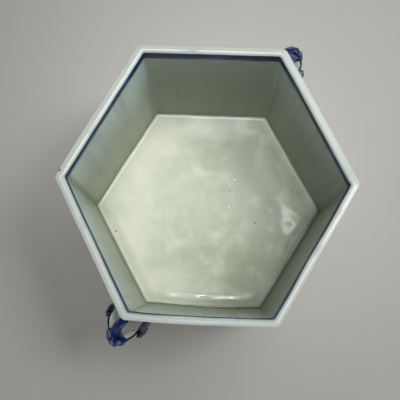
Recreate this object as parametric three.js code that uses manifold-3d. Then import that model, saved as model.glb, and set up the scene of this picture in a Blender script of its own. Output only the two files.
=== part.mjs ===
// Hexagonal incense burner in blue-and-white porcelain, slab-built: six mitred wall slabs stand on a
// rebated floor slab, a rounded rim strip caps them, a soft coil seals the inside seam, six bracket feet
// carry the corners, and a beast-head handle is luted to each of two opposite corners.
// Millimetres, +Z up. The origin is on the table, under the middle of the basin. X runs across two
// opposite corners of the mouth, and Y across its front and back sides.
import * as THREE from 'three';
import { mergeVertices } from 'three/addons/utils/BufferGeometryUtils.js';
import Module from 'manifold-3d';

// Driving dimensions.
const MOUTH = { corners: 120, flats: 111.3 }; // middle of the mouth to a corner on X, and to the back side
const FLOOR = { corners: 119, flats: 104.5 }; // the same at the basin floor: front and back lean in most
const HEIGHT = 108; // table to the crest of the rim
const BASIN_DEPTH = 86.5; // crest of the rim to the basin floor
const CORNER_RADIUS = 6; // outside rounding of the upright corners
const LUTE = 0.3; // seam of slip between two luted pieces

const RIM_HEIGHT = 6;
const RIM_WIDTH = 7;
const RIM_CREST = 4.2; // rim's outer edge to the top of its crown
const RIM_OUTER_DROP = 2.4; // fall of the crown to its outer edge
const RIM_INNER_DROP = 1.5; // and to its inner one
const WALL_THICKNESS = 5.6;
const WALL_INSET = 0.7; // rim's outer edge to the wall's outer face
const INNER_RADIUS = 3; // inside rounding of the upright corners
const FLOOR_THICKNESS = 7;
const LEDGE_HEIGHT = 4; // the floor's ledge that the walls stand on
const COIL_LEG = 4.5; // the coil's reach up the wall and along the floor
const COIL_LIP = 0.4; // least thickness of the coil's feathered edges
const FOOT_THICKNESS = 9;
const FOOT_TOE = 15; // foot's reach from its corner at the table
const FOOT_WING = 30; // and at the floor slab

// Heights worked out from them.
const FLOOR_TOP = HEIGHT - BASIN_DEPTH;
const FLOOR_BOTTOM = FLOOR_TOP - FLOOR_THICKNESS;
const LEDGE_TOP = FLOOR_BOTTOM + LEDGE_HEIGHT;
const WALL_TOP = HEIGHT - RIM_HEIGHT - LUTE;
const FOOT_TOP = FLOOR_BOTTOM - LUTE;

const SIDES = 6;
const ARC_STEPS = 5;

const wasm = await Module();
wasm.setup();

// Glazes.
const celadon = new THREE.MeshStandardMaterial({ color: 0xd3dacb, roughness: 0.18, metalness: 0 });
const cobalt = new THREE.MeshStandardMaterial({ color: 0x1b2f74, roughness: 0.2, metalness: 0 });

// Half sizes of the leaning body at a height.
function sizeAt(z) {
  const t = (HEIGHT - z) / BASIN_DEPTH;
  return {
    corners: THREE.MathUtils.lerp(MOUTH.corners, FLOOR.corners, t),
    flats: THREE.MathUtils.lerp(MOUTH.flats, FLOOR.flats, t),
  };
}

// Corners of a hexagon, drawn in by an inset measured square to its sides, anticlockwise from +X.
function hexCorners({ corners: c, flats: f }, inset) {
  const slant = Math.hypot(f, c / 2);
  const tip = c - (inset * slant) / f;
  const shoulder = c / 2 - (inset * (slant - c / 2)) / f;
  const flat = f - inset;
  return [[tip, 0], [shoulder, flat], [-shoulder, flat], [-tip, 0], [-shoulder, -flat], [shoulder, -flat]]
    .map(([x, y]) => new THREE.Vector2(x, y));
}

// Outward direction of each side, side k running from corner k to corner k + 1.
function sideAngles({ corners: c, flats: f }) {
  const lean = Math.atan2(c / 2, f);
  return [lean, Math.PI / 2, Math.PI - lean, Math.PI + lean, Math.PI * 1.5, Math.PI * 2 - lean];
}

// The hexagon at a height with its corners rounded, as 3-D points.
function outline(z, inset, radius, size = sizeAt(z)) {
  const centres = hexCorners(size, inset + radius);
  const angles = sideAngles(size);
  return centres.flatMap((centre, k) => {
    const from = k === 0 ? angles[SIDES - 1] - Math.PI * 2 : angles[k - 1];
    return Array.from({ length: ARC_STEPS + 1 }, (_, i) => {
      const angle = from + ((angles[k] - from) * i) / ARC_STEPS;
      return new THREE.Vector3(centre.x + radius * Math.cos(angle), centre.y + radius * Math.sin(angle), z);
    });
  });
}

// Skins a row of closed sections of equal length. A looped row is a ring; otherwise its ends are capped.
function loft(sections, looped = false) {
  const n = sections[0].length;
  const points = sections.flat();
  const index = [];
  const bands = looped ? sections.length : sections.length - 1;
  for (let s = 0; s < bands; s++) {
    const low = s * n;
    const high = ((s + 1) % sections.length) * n;
    for (let i = 0; i < n; i++) {
      const j = (i + 1) % n;
      index.push(low + i, low + j, high + j, low + i, high + j, high + i);
    }
  }
  if (!looped) {
    const ends = [[sections[0], 0, true], [sections.at(-1), (sections.length - 1) * n, false]];
    for (const [section, start, reversed] of ends) {
      const middle = section.reduce((sum, p) => sum.add(p), new THREE.Vector3()).divideScalar(n);
      const hub = points.push(middle) - 1;
      for (let i = 0; i < n; i++) {
        const j = (i + 1) % n;
        if (reversed) index.push(hub, start + j, start + i);
        else index.push(hub, start + i, start + j);
      }
    }
  }
  const geometry = new THREE.BufferGeometry().setFromPoints(points);
  geometry.setIndex(index);
  return geometry;
}

// A geometry as a solid, turned right side out, and back again.
function solid(geometry) {
  const bare = geometry.clone();
  bare.deleteAttribute('normal');
  bare.deleteAttribute('uv');
  const merged = mergeVertices(bare, 1e-4);
  const vertProperties = new Float32Array(merged.getAttribute('position').array);
  const triVerts = new Uint32Array(merged.index.array);
  const made = new wasm.Manifold(new wasm.Mesh({ numProp: 3, vertProperties, triVerts }));
  if (made.volume() > 0) return made;
  for (let i = 0; i < triVerts.length; i += 3) {
    [triVerts[i], triVerts[i + 1]] = [triVerts[i + 1], triVerts[i]];
  }
  return new wasm.Manifold(new wasm.Mesh({ numProp: 3, vertProperties, triVerts }));
}

function geometryOf(manifold) {
  const { vertProperties, numProp, triVerts } = manifold.getMesh();
  const positions = new Float32Array((vertProperties.length / numProp) * 3);
  for (let i = 0; i < positions.length / 3; i++) {
    positions.set(vertProperties.subarray(i * numProp, i * numProp + 3), i * 3);
  }
  const geometry = new THREE.BufferGeometry();
  geometry.setAttribute('position', new THREE.BufferAttribute(positions, 3));
  geometry.setIndex(new THREE.BufferAttribute(new Uint32Array(triVerts), 1));
  geometry.computeVertexNormals();
  return geometry;
}

function piece(name, manifold, material) {
  const mesh = new THREE.Mesh(geometryOf(manifold), material);
  mesh.name = name;
  return mesh;
}

// An upright slice of the plan that opens outwards between two corners, moved out by half a seam.
function planWedge(from, to, outward) {
  const reach = 3;
  const shape = new THREE.Shape([
    new THREE.Vector2(0, 0),
    from.clone().multiplyScalar(reach),
    to.clone().multiplyScalar(reach),
  ]);
  const geometry = new THREE.ExtrudeGeometry(shape, { depth: HEIGHT * 2, bevelEnabled: false });
  geometry.translate(outward.x * LUTE, outward.y * LUTE, -HEIGHT / 2);
  return solid(geometry);
}

const middlesOf = (corners) => corners.map((corner, k) => corner.clone().add(corners[(k + 1) % SIDES])
  .multiplyScalar(0.5));
const mouthCorners = hexCorners(MOUTH, 0);
const sideNormals = sideAngles(MOUTH).map((angle) => new THREE.Vector2(Math.cos(angle), Math.sin(angle)));

// Six wall slabs, mitred where they meet at the upright corners.
const WALL_NAMES = ['wall_right_back', 'wall_back', 'wall_left_back', 'wall_left_front', 'wall_front',
  'wall_right_front'];

function wallSlabs() {
  const outer = CORNER_RADIUS - WALL_INSET;
  const bottom = LEDGE_TOP + LUTE;
  const shell = solid(loft([
    outline(bottom, WALL_INSET, outer),
    outline(WALL_TOP, WALL_INSET, outer),
    outline(WALL_TOP, WALL_INSET + WALL_THICKNESS, INNER_RADIUS),
    outline(bottom, WALL_INSET + WALL_THICKNESS, INNER_RADIUS),
  ], true));
  return WALL_NAMES.map((name, k) => {
    const wedge = planWedge(mouthCorners[k], mouthCorners[(k + 1) % SIDES], sideNormals[k]);
    return piece(name, shell.intersect(wedge), celadon);
  });
}

// The floor slab, rebated so that its ledge runs under the walls and its middle stands between them.
function floorSlab() {
  const outer = CORNER_RADIUS - WALL_INSET;
  const inside = WALL_INSET + WALL_THICKNESS + LUTE;
  const eased = 0.8;
  return piece('floor_slab', solid(loft([
    outline(FLOOR_BOTTOM, WALL_INSET + eased, outer),
    outline(FLOOR_BOTTOM + eased, WALL_INSET, outer),
    outline(LEDGE_TOP, WALL_INSET, outer),
    outline(LEDGE_TOP, inside, INNER_RADIUS),
    outline(FLOOR_TOP, inside, INNER_RADIUS),
  ])), celadon);
}

// A quarter turn in even steps.
const quarter = (steps) => Array.from({ length: steps + 1 }, (_, i) => (Math.PI / 2) * (i / steps));

// The clay coil pressed into the seam between walls and floor, smoothed to a cove.
function seamCoil() {
  const wallFace = WALL_INSET + WALL_THICKNESS + LUTE;
  const seat = FLOOR_TOP + LUTE;
  const cove = quarter(4).map((angle) => {
    const inset = wallFace + COIL_LIP + COIL_LEG * (1 - Math.cos(angle));
    return outline(seat + COIL_LIP + COIL_LEG * (1 - Math.sin(angle)), inset, INNER_RADIUS);
  });
  return piece('seam_coil', solid(loft([
    outline(seat, wallFace, INNER_RADIUS),
    outline(seat + COIL_LEG + COIL_LIP, wallFace, INNER_RADIUS),
    ...cove,
    outline(seat, wallFace + COIL_LEG + COIL_LIP, INNER_RADIUS),
  ], true)), celadon);
}

// The rim strip: flat below, with a crown that stands nearer its inner edge.
function rimStrip() {
  const seat = HEIGHT - RIM_HEIGHT;
  const squareness = 0.8;
  const outerHalf = quarter(5).map((angle) => {
    const inset = RIM_CREST * (1 - Math.cos(angle) ** squareness);
    const z = HEIGHT - RIM_OUTER_DROP * (1 - Math.sin(angle) ** squareness);
    return outline(z, inset, CORNER_RADIUS - inset * (CORNER_RADIUS - INNER_RADIUS) / RIM_WIDTH, MOUTH);
  });
  const innerHalf = quarter(4).toReversed().slice(1).map((angle) => {
    const inset = RIM_CREST + (RIM_WIDTH - RIM_CREST) * Math.cos(angle) ** squareness;
    const z = HEIGHT - RIM_INNER_DROP * (1 - Math.sin(angle) ** squareness);
    return outline(z, inset, CORNER_RADIUS - inset * (CORNER_RADIUS - INNER_RADIUS) / RIM_WIDTH, MOUTH);
  });
  return piece('rim_strip', solid(loft([
    outline(seat, WALL_INSET, CORNER_RADIUS - WALL_INSET, MOUTH),
    ...outerHalf,
    ...innerHalf,
    outline(seat, WALL_INSET + WALL_THICKNESS, INNER_RADIUS, MOUTH),
  ], true)), celadon);
}

// The opening between two feet, in the plane of a side: s along the side, z up, with ogee ends.
function archShape(halfSide) {
  const toe = halfSide - FOOT_TOE;
  const wing = halfSide - FOOT_WING;
  const shape = new THREE.Shape();
  shape.moveTo(-toe, -1);
  shape.lineTo(-toe, 2);
  shape.bezierCurveTo(-toe, 8, -toe + 5, 5.5, -toe + 7, 8.5);
  shape.bezierCurveTo(-toe + 9, 12, -wing - 2, 10.5, -wing, FOOT_TOP + 1);
  shape.lineTo(wing, FOOT_TOP + 1);
  shape.bezierCurveTo(wing + 2, 10.5, toe - 9, 12, toe - 7, 8.5);
  shape.bezierCurveTo(toe - 5, 5.5, toe, 8, toe, 2);
  shape.lineTo(toe, -1);
  shape.closePath();
  return shape;
}

// Six bracket feet, one folded round each corner, each with a spread toe under a drawn-in ankle.
function bracketFeet() {
  const base = sizeAt(FOOT_TOP);
  const corners = hexCorners(base, 0);
  const middles = middlesOf(corners);
  const angles = sideAngles(base);
  const outerRadius = CORNER_RADIUS - 1;
  const profile = [[0, 0], [2.5, 0.5], [7, 2.3], [FOOT_TOP, 1.5]]; // height and inset of the outer face
  const inside = profile.at(-1)[1] + FOOT_THICKNESS;
  const skirt = solid(loft([
    ...profile.map(([z, inset]) => outline(z, inset, outerRadius, base)),
    outline(FOOT_TOP, inside, INNER_RADIUS, base),
    outline(0, inside, INNER_RADIUS, base),
  ], true));
  const arches = corners.map((corner, k) => {
    const halfSide = corner.distanceTo(corners[(k + 1) % SIDES]) / 2;
    const depth = 40;
    const settings = { depth, bevelEnabled: false, curveSegments: 5 };
    const arch = new THREE.ExtrudeGeometry(archShape(halfSide), settings);
    arch.rotateX(Math.PI / 2);
    arch.translate(0, depth / 2, 0);
    arch.rotateZ(angles[k] - Math.PI / 2);
    arch.translate(middles[k].x, middles[k].y, 0);
    return solid(arch);
  });
  const opened = arches.reduce((left, arch) => left.subtract(arch), skirt);
  return corners.map((corner, k) => {
    const wedge = planWedge(middles[(k + SIDES - 1) % SIDES], middles[k], corner.clone().normalize());
    return piece(`bracket_foot_${k + 1}`, opened.intersect(wedge), celadon);
  });
}

// A beast-head handle in its own frame: x out from the corner, y to the left, z up from the rim's crest.
const HEAD_BACK = 12.8; // from the corner to the flat back of the mask
// Down the mask's face: height, reach of the cheeks from its back, half width, and how far the snout stands
// proud of the cheeks. The rows are crown, forehead, brow, eyes, bridge, nose, lip, mouth, jaw and chin.
const FACE = [
  [-24.2, 1.8, 3.4, 0], [-25.4, 6, 6.6, 0], [-27.6, 9.4, 8.7, 0.3], [-30, 10.2, 9.3, 0.9],
  [-32, 9, 9.3, 1.9], [-34, 8.7, 9.2, 3.9], [-36.6, 8.5, 8.8, 4.2], [-38.8, 8.2, 8.2, 3.6],
  [-40.6, 6.4, 7.6, 1.6], [-42.6, 6.6, 6.8, 2.4], [-45.4, 4.8, 5.2, 1], [-46.8, 2, 3, 0],
];
const SNOUT_SPREAD = 0.6; // radians off straight ahead in which the snout dies away
const STRAP = { width: 8, neck: 8.4, thickness: 3.6 };
const RIBBON = { y: 13.1, thickness: 2.3, height: 17.5, lean: 6 }; // lean: the foot stands in at the head
const EAR = { thickness: 3.6, x: 0.3, z: -28.7, radius: 7.2, wall: -14 };
const CURL_TUBE = 0.7; // radius of a relief curl's ridge

// A row of the mask, worked out between those given by a smooth curve, down running 0 to 1.
const faceCurves = [1, 2, 3].map((column) => new THREE.SplineCurve(FACE.map((row) => new THREE.Vector2(
  row[0], row[column]))));

// A point on the mask's front: around is 0 straight ahead and 90 degrees at the left cheek.
function facePoint(down, around) {
  const [reach, wide, snout] = faceCurves.map((curve) => curve.getPoint(down));
  const proud = snout.y * Math.exp(-((around / SNOUT_SPREAD) ** 2));
  return new THREE.Vector3(
    HEAD_BACK + reach.y * Math.max(0, Math.cos(around)) ** 0.75 + proud,
    wide.y * Math.sin(around),
    reach.x,
  );
}

// The frame on the mask's front at a point, its Z facing out.
function faceFrame(down, around) {
  const step = 0.01;
  const at = facePoint(down, around);
  const falling = facePoint(down + step, around).sub(at).normalize();
  const side = facePoint(down, around + step).sub(at).normalize();
  const out = side.clone().cross(falling).normalize();
  if (out.x < 0) out.negate();
  return new THREE.Matrix4().makeBasis(side, out.clone().cross(side), out).setPosition(at);
}

// A round bar along a smooth path.
function bar(points, radius, steps, sides = 6) {
  const section = new THREE.Shape(Array.from({ length: sides }, (_, i) => {
    const angle = (Math.PI * 2 * i) / sides;
    return new THREE.Vector2(radius * Math.cos(angle), radius * Math.sin(angle));
  }));
  const extrudePath = new THREE.CatmullRomCurve3(points);
  return new THREE.ExtrudeGeometry(section, { steps, extrudePath, bevelEnabled: false });
}

// A relief curl: a ridge that winds in to its middle, lying on Z = 0 of its own frame.
function curl(radius, turns, hand = 1) {
  const count = 14;
  const points = Array.from({ length: count + 1 }, (_, i) => {
    const t = i / count;
    const r = radius * (1 - 0.82 * t);
    const angle = hand * turns * Math.PI * 2 * t;
    return new THREE.Vector3(r * Math.cos(angle), r * Math.sin(angle), 0.1 + 0.5 * t);
  });
  return bar(points, CURL_TUBE, count, 4);
}

// The mask lofted from crown to chin, and with its brows, eyes, nostrils and crown curls raised on it.
function headSolid() {
  const rows = 16;
  const front = 14;
  const mask = solid(loft(Array.from({ length: rows + 1 }, (_, i) => {
    return Array.from({ length: front + 1 }, (_, j) => facePoint(i / rows, Math.PI * (j / front - 0.5)));
  })));
  const ball = (radius, x, y, z) => new THREE.SphereGeometry(radius, 10, 6).translate(x, y, z);
  const parts = [];
  for (const side of [1, -1]) {
    parts.push(ball(1.3, 24.6, side * 2, -35.2));
    parts.push(ball(1.9, 21, side * 5, -32.8));
    parts.push(bar([new THREE.Vector3(23.4, side * 1.2, -32.4), new THREE.Vector3(23, side * 3, -30),
      new THREE.Vector3(21, side * 6.2, -29.4), new THREE.Vector3(17.4, side * 9, -31.2)], 1.1, 8, 5));
    parts.push(curl(2.2, 1.3, side).applyMatrix4(faceFrame(0.14, side * 0.75)));
  }
  parts.push(curl(2, 1.3).applyMatrix4(faceFrame(0.2, 0)));
  return { mask, whole: parts.reduce((joined, part) => joined.add(solid(part)), mask) };
}

// The brow strap, broad and flat, that runs down from the corner under the rim to the crown of the head.
function browStrap() {
  const path = new THREE.CatmullRomCurve3([
    new THREE.Vector3(-5, 0, -14), new THREE.Vector3(0.5, 0, -15.2), new THREE.Vector3(7, 0, -19.6),
    new THREE.Vector3(15.5, 0, -27.5),
  ]);
  const steps = 8;
  const around = 12;
  const across = new THREE.Vector3(0, 1, 0);
  return loft(Array.from({ length: steps + 1 }, (_, i) => {
    const t = i / steps;
    const middle = path.getPointAt(t);
    const up = path.getTangentAt(t).cross(across);
    const half = THREE.MathUtils.lerp(STRAP.width, STRAP.neck, t ** 2) / 2;
    return Array.from({ length: around }, (_, j) => {
      const angle = (Math.PI * 2 * j) / around;
      const flat = 0.7;
      const y = half * Math.sign(Math.cos(angle)) * Math.abs(Math.cos(angle)) ** flat;
      const h = (STRAP.thickness / 2) * Math.sin(angle);
      return middle.clone().addScaledVector(across, y).addScaledVector(up, h);
    });
  }));
}

// One side ribbon, tall and thin: square out from the wall, then curving in to the head's cheek, where its
// foot leans in under the upper edge.
function sideRibbon(side) {
  const path = new THREE.CatmullRomCurve3([
    new THREE.Vector3(-14, side * RIBBON.y, -21.6), new THREE.Vector3(-4, side * RIBBON.y, -21.2),
    new THREE.Vector3(4.4, side * RIBBON.y, -21.8), new THREE.Vector3(8, side * 12.3, -23.2),
    new THREE.Vector3(11.6, side * 10.6, -24.8), new THREE.Vector3(17.4, side * 6.4, -27),
  ]);
  const steps = 16;
  const thin = RIBBON.thickness / 2;
  return loft(Array.from({ length: steps + 1 }, (_, i) => {
    const top = path.getPointAt(i / steps);
    const along = path.getTangentAt(i / steps);
    const out = new THREE.Vector3(along.y, -along.x, 0).normalize().multiplyScalar(-side);
    const lean = RIBBON.lean * THREE.MathUtils.smoothstep(top.x, 2, 10);
    const section = [[-thin, 0.7], [0, 0], [thin, 0.7], [thin, RIBBON.height], [-thin, RIBBON.height]];
    return section.map(([across, down]) => top.clone()
      .addScaledVector(out, across - (lean * down) / RIBBON.height)
      .add(new THREE.Vector3(0, 0, -down)));
  }));
}

// An ear: a cloud scroll set on the ribbon's outer face at the wall, its round front raised in a volute.
function earSolid(side) {
  const { thickness, x, z, radius, wall } = EAR;
  const start = THREE.MathUtils.degToRad(-100);
  const end = THREE.MathUtils.degToRad(95);
  const shape = new THREE.Shape();
  shape.absarc(x, z, radius, start, end, false);
  shape.bezierCurveTo(x - 4, z + radius + 0.3, x - 8, z + radius - 0.6, wall, z + radius - 1);
  shape.lineTo(wall, z - radius - 4.6);
  shape.bezierCurveTo(x - 9, z - radius - 4.6, x - 5, z - radius - 2, x + radius * Math.cos(start),
    z + radius * Math.sin(start));
  shape.closePath();
  const bevel = 1;
  const plate = new THREE.ExtrudeGeometry(shape, {
    depth: thickness - bevel * 2,
    bevelThickness: bevel,
    bevelSize: bevel,
    bevelOffset: -bevel,
    bevelSegments: 2,
    curveSegments: 9,
  });
  const inner = RIBBON.y + RIBBON.thickness / 2 + LUTE;
  plate.rotateX(Math.PI / 2);
  plate.translate(0, side * (inner + thickness / 2) + thickness / 2 - bevel, 0);
  const volute = curl(radius - 1.4, 1.6, -side);
  volute.rotateX(-side * (Math.PI / 2));
  volute.translate(x, side * (inner + thickness), z);
  return solid(plate).add(solid(volute));
}

// Where the two handles stand: the back right corner and the front left one.
const HANDLE_CORNERS = { back: 1, front: 4 };

function handlePlacement(corner) {
  const at = mouthCorners[corner];
  const outward = sideNormals[(corner + SIDES - 1) % SIDES].clone().add(sideNormals[corner]);
  return new THREE.Matrix4().makeRotationZ(Math.atan2(outward.y, outward.x)).setPosition(at.x, at.y, HEIGHT);
}

// The body's outside, grown by one seam, seen from a handle's own frame: what its pieces are trimmed to.
function bodyFrom(placement) {
  const hull = loft([
    outline(0, WALL_INSET - LUTE, CORNER_RADIUS),
    outline(HEIGHT + 1, WALL_INSET - LUTE, CORNER_RADIUS),
  ]);
  return solid(hull.applyMatrix4(placement.clone().invert()));
}

// A solid swollen by about one seam: itself and its copies moved a seam each way.
function grown(made) {
  const ways = [[1, 0, 0], [0, 1, 0], [0, 0, 1], [1, 1, 0], [1, -1, 0], [1, 0, 1], [1, 0, -1]];
  return ways.reduce((swollen, way) => {
    const move = way.map((v) => (v * LUTE) / Math.hypot(...way));
    return swollen.add(made.translate(move)).add(made.translate(move.map((v) => -v)));
  }, made);
}

// The largest of the bodies that a cut leaves.
const largest = (cut) => cut.decompose().toSorted((a, b) => b.volume() - a.volume())[0];

function handleSolids() {
  const body = bodyFrom(handlePlacement(HANDLE_CORNERS.back));
  const { mask, whole } = headSolid();
  const strap = solid(browStrap()).subtract(body).subtract(grown(mask));
  const solids = { head: whole.subtract(grown(strap)), brow_strap: largest(strap) };
  for (const [name, side] of [['left', 1], ['right', -1]]) {
    const ear = earSolid(side).subtract(body);
    solids[`${name}_ear`] = ear;
    const free = solid(sideRibbon(side)).subtract(body).subtract(grown(mask)).subtract(grown(ear));
    solids[`${name}_ribbon`] = largest(free);
  }
  return solids;
}

// The whole burner.
const burner = new THREE.Group();
burner.add(...wallSlabs(), floorSlab(), seamCoil(), rimStrip(), ...bracketFeet());
const solids = handleSolids();
for (const [where, corner] of Object.entries(HANDLE_CORNERS)) {
  const handle = new THREE.Group();
  handlePlacement(corner).decompose(handle.position, handle.quaternion, handle.scale);
  for (const [name, manifold] of Object.entries(solids)) {
    handle.add(piece(`${where}_handle_${name}`, manifold, cobalt));
  }
  burner.add(handle);
}

export default burner;
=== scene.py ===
"""Hexagonal blue-and-white porcelain incense burner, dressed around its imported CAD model.

Everything is in metres. +Z is up, X runs across two corners of the mouth and the handles stand at the
back right and front left corners.
"""

import logging
import math
from collections.abc import Callable, Iterable, Sequence
from dataclasses import dataclass
from enum import Enum

import bmesh
import bpy
from mathutils import Matrix, Vector, kdtree, noise


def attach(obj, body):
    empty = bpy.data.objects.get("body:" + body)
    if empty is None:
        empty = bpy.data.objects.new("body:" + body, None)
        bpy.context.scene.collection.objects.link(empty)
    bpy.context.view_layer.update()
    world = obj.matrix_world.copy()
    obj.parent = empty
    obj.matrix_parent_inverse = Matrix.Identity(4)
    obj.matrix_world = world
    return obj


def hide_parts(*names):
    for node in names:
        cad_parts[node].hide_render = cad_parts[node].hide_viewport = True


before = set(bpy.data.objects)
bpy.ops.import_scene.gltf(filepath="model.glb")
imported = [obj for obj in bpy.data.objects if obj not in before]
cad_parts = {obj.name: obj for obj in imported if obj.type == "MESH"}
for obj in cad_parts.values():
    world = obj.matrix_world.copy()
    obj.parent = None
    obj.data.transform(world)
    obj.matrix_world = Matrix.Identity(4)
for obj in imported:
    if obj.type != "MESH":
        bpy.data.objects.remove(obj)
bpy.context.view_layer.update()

BODY = "root"
MM = 0.001
TINY = 1e-9
BLACK = (0.0, 0.0, 0.0)
UP = Vector((0, 0, 1))
ACROSS = Vector((0, 1, 0))
NUMBER = "NodeSocketFloat"
COLOUR_MIX_INPUTS = (0, 6, 7)
COLOUR_MIX_OUTPUT = 2

log = logging.getLogger("burner")


class Side(Enum):
    """The six sides of the hexagon, anticlockwise, with the CAD node of each wall."""

    RIGHT_BACK = "wall_right_back"
    BACK = "wall_back"
    LEFT_BACK = "wall_left_back"
    LEFT_FRONT = "wall_left_front"
    FRONT = "wall_front"
    RIGHT_FRONT = "wall_right_front"


class HandleCorner(Enum):
    """The corners that carry a handle, counted anticlockwise from +X."""

    BACK = 1
    FRONT = 4


class Mark(Enum):
    """Point attributes that the glazes read."""

    INSIDE = "inside"
    FLOOR = "floor"
    # Glaze gathered in seams and corners, darkened further as painted shade.
    POOL = "pool"
    BARE = "bare"
    ALONG = "along"
    HALF = "half"
    TRIM = "trim"
    RIDGE = "ridge"
    WHITE = "white"
    # Glaze thin over arrises, brightened as a painted highlight.
    THIN = "thin"
    # How dark each side is painted as shade, on the sides turned from the light.
    DEEP = "deep"
    WASH = "wash"
    LINE_TOP = "line_top"
    LINE_LOW = "line_low"


class Socket:
    """An output socket of a node tree that can be used in Python expressions."""

    def __init__(self, graph: "Graph", socket: bpy.types.NodeSocket) -> None:
        """Wraps a socket.

        Args:
            graph: the node tree's graph, which adds the Math nodes.
            socket: the output socket.
        """
        self.graph = graph
        self.socket = socket

    def __add__(self, other: "Socket | float") -> "Socket":
        """This value plus another."""
        return self.graph.math("ADD", self, other)

    def __sub__(self, other: "Socket | float") -> "Socket":
        """This value minus another."""
        return self.graph.math("SUBTRACT", self, other)

    def __mul__(self, other: "Socket | float") -> "Socket":
        """This value times another."""
        return self.graph.math("MULTIPLY", self, other)

    def __truediv__(self, other: "Socket | float") -> "Socket":
        """This value divided by another."""
        return self.graph.math("DIVIDE", self, other)

    def __radd__(self, other: float) -> "Socket":
        """A number plus this value."""
        return self.graph.math("ADD", other, self)

    def __rsub__(self, other: float) -> "Socket":
        """A number minus this value."""
        return self.graph.math("SUBTRACT", other, self)

    def __rmul__(self, other: float) -> "Socket":
        """A number times this value."""
        return self.graph.math("MULTIPLY", other, self)

    def __abs__(self) -> "Socket":
        """This value without its sign."""
        return self.graph.math("ABSOLUTE", self)

    def least(self, other: "Socket | float") -> "Socket":
        """The smaller of this value and another."""
        return self.graph.math("MINIMUM", self, other)

    def most(self, other: "Socket | float") -> "Socket":
        """The larger of this value and another."""
        return self.graph.math("MAXIMUM", self, other)


class Graph:
    """A node tree built by expressions."""

    def __init__(self, tree: bpy.types.NodeTree) -> None:
        """Empties a node tree and takes it over.

        Args:
            tree: the node tree.
        """
        self.tree = tree
        tree.nodes.clear()

    def node(self, kind: str, settings: dict | None = None, **values: object) -> bpy.types.Node:
        """Adds a node.

        Args:
            kind: the node's type, such as ShaderNodeBsdfPrincipled.
            settings: attributes that are set first.
            **values: values or links of its input sockets, by name with underscores for spaces.

        Returns:
            The new node.
        """
        made = self.tree.nodes.new(kind)
        for key, value in (settings or {}).items():
            setattr(made, key, value)
        for key, value in values.items():
            self.feed(made.inputs[key.replace("_", " ")], value)
        return made

    def feed(self, target: bpy.types.NodeSocket, value: object) -> None:
        """Links a socket to an input, or sets the input's own value.

        Args:
            target: the input.
            value: a socket, or the input's own value.
        """
        if isinstance(value, Socket):
            self.tree.links.new(value.socket, target)
        elif isinstance(value, tuple) and target.type == "RGBA":
            target.default_value = (*value[:3], 1.0)
        else:
            target.default_value = value

    def out(self, made: bpy.types.Node, name: str | int = 0) -> Socket:
        """A node's output as a socket for expressions."""
        return Socket(self, made.outputs[name])

    def math(self, operation: str, *values: Socket | float) -> Socket:
        """Adds a Math node.

        Args:
            operation: the node's operation.
            *values: its inputs in order.

        Returns:
            Its result.
        """
        made = self.node("ShaderNodeMath", {"operation": operation})
        for target, value in zip(made.inputs, values):
            self.feed(target, value)
        return self.out(made)

    def vector(self, operation: str, first: Socket, second: object) -> Socket:
        """Adds a Vector Math node.

        Args:
            operation: the node's operation.
            first: its first vector.
            second: its second vector, or the factor when it scales.

        Returns:
            Its result.
        """
        made = self.node("ShaderNodeVectorMath", {"operation": operation})
        self.feed(made.inputs[0], first)
        self.feed(made.inputs["Scale"] if operation == "SCALE" else made.inputs[1], second)
        return self.out(made)

    def step(self, value: Socket, low: float, high: float) -> Socket:
        """A smooth rise from 0 where value is low to 1 where it is high.

        Args:
            value: the value.
            low: where the rise starts.
            high: where it ends.

        Returns:
            The rise.
        """
        made = self.node("ShaderNodeMapRange", {"interpolation_type": "SMOOTHSTEP"}, Value=value)
        self.feed(made.inputs["From Min"], low)
        self.feed(made.inputs["From Max"], high)
        return self.out(made)

    def mix(self, share: Socket | float, first: object, second: object) -> Socket:
        """A mix of two colours.

        Args:
            share: 0 gives the first and 1 the second.
            first: a colour or a colour socket.
            second: the same.

        Returns:
            The mixed colour.
        """
        made = self.node("ShaderNodeMix", {"data_type": "RGBA"})
        for place, value in zip(COLOUR_MIX_INPUTS, (share, first, second)):
            self.feed(made.inputs[place], value)
        return self.out(made, COLOUR_MIX_OUTPUT)

    def noise(self, scale: float | Socket, detail: float = 2.0, at: Socket | None = None,
              output: int = 0) -> Socket:
        """A noise texture.

        Args:
            scale: its scale, per metre.
            detail: its octaves.
            at: where it is read, or None for Object coordinates.
            output: 0 for its value, around 0.5, and 1 for its colour.

        Returns:
            The value or the colour.
        """
        made = self.node("ShaderNodeTexNoise", Vector=at or self.place(), Scale=scale, Detail=detail)
        return self.out(made, output)

    def place(self) -> Socket:
        """Object coordinates."""
        return self.out(self.node("ShaderNodeTexCoord"), "Object")

    def axes(self, vector: Socket) -> tuple[Socket, Socket, Socket]:
        """A vector's three values."""
        apart = self.node("ShaderNodeSeparateXYZ", Vector=vector)
        return self.out(apart, 0), self.out(apart, 1), self.out(apart, 2)

    def joined(self, x: Socket | float, y: Socket | float, z: Socket | float) -> Socket:
        """A vector from three values."""
        return self.out(self.node("ShaderNodeCombineXYZ", X=x, Y=y, Z=z))

    def mark(self, mark: Mark) -> Socket:
        """A point attribute's value in a shader."""
        return self.out(self.node("ShaderNodeAttribute", {"attribute_name": mark.value}), "Fac")


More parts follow.
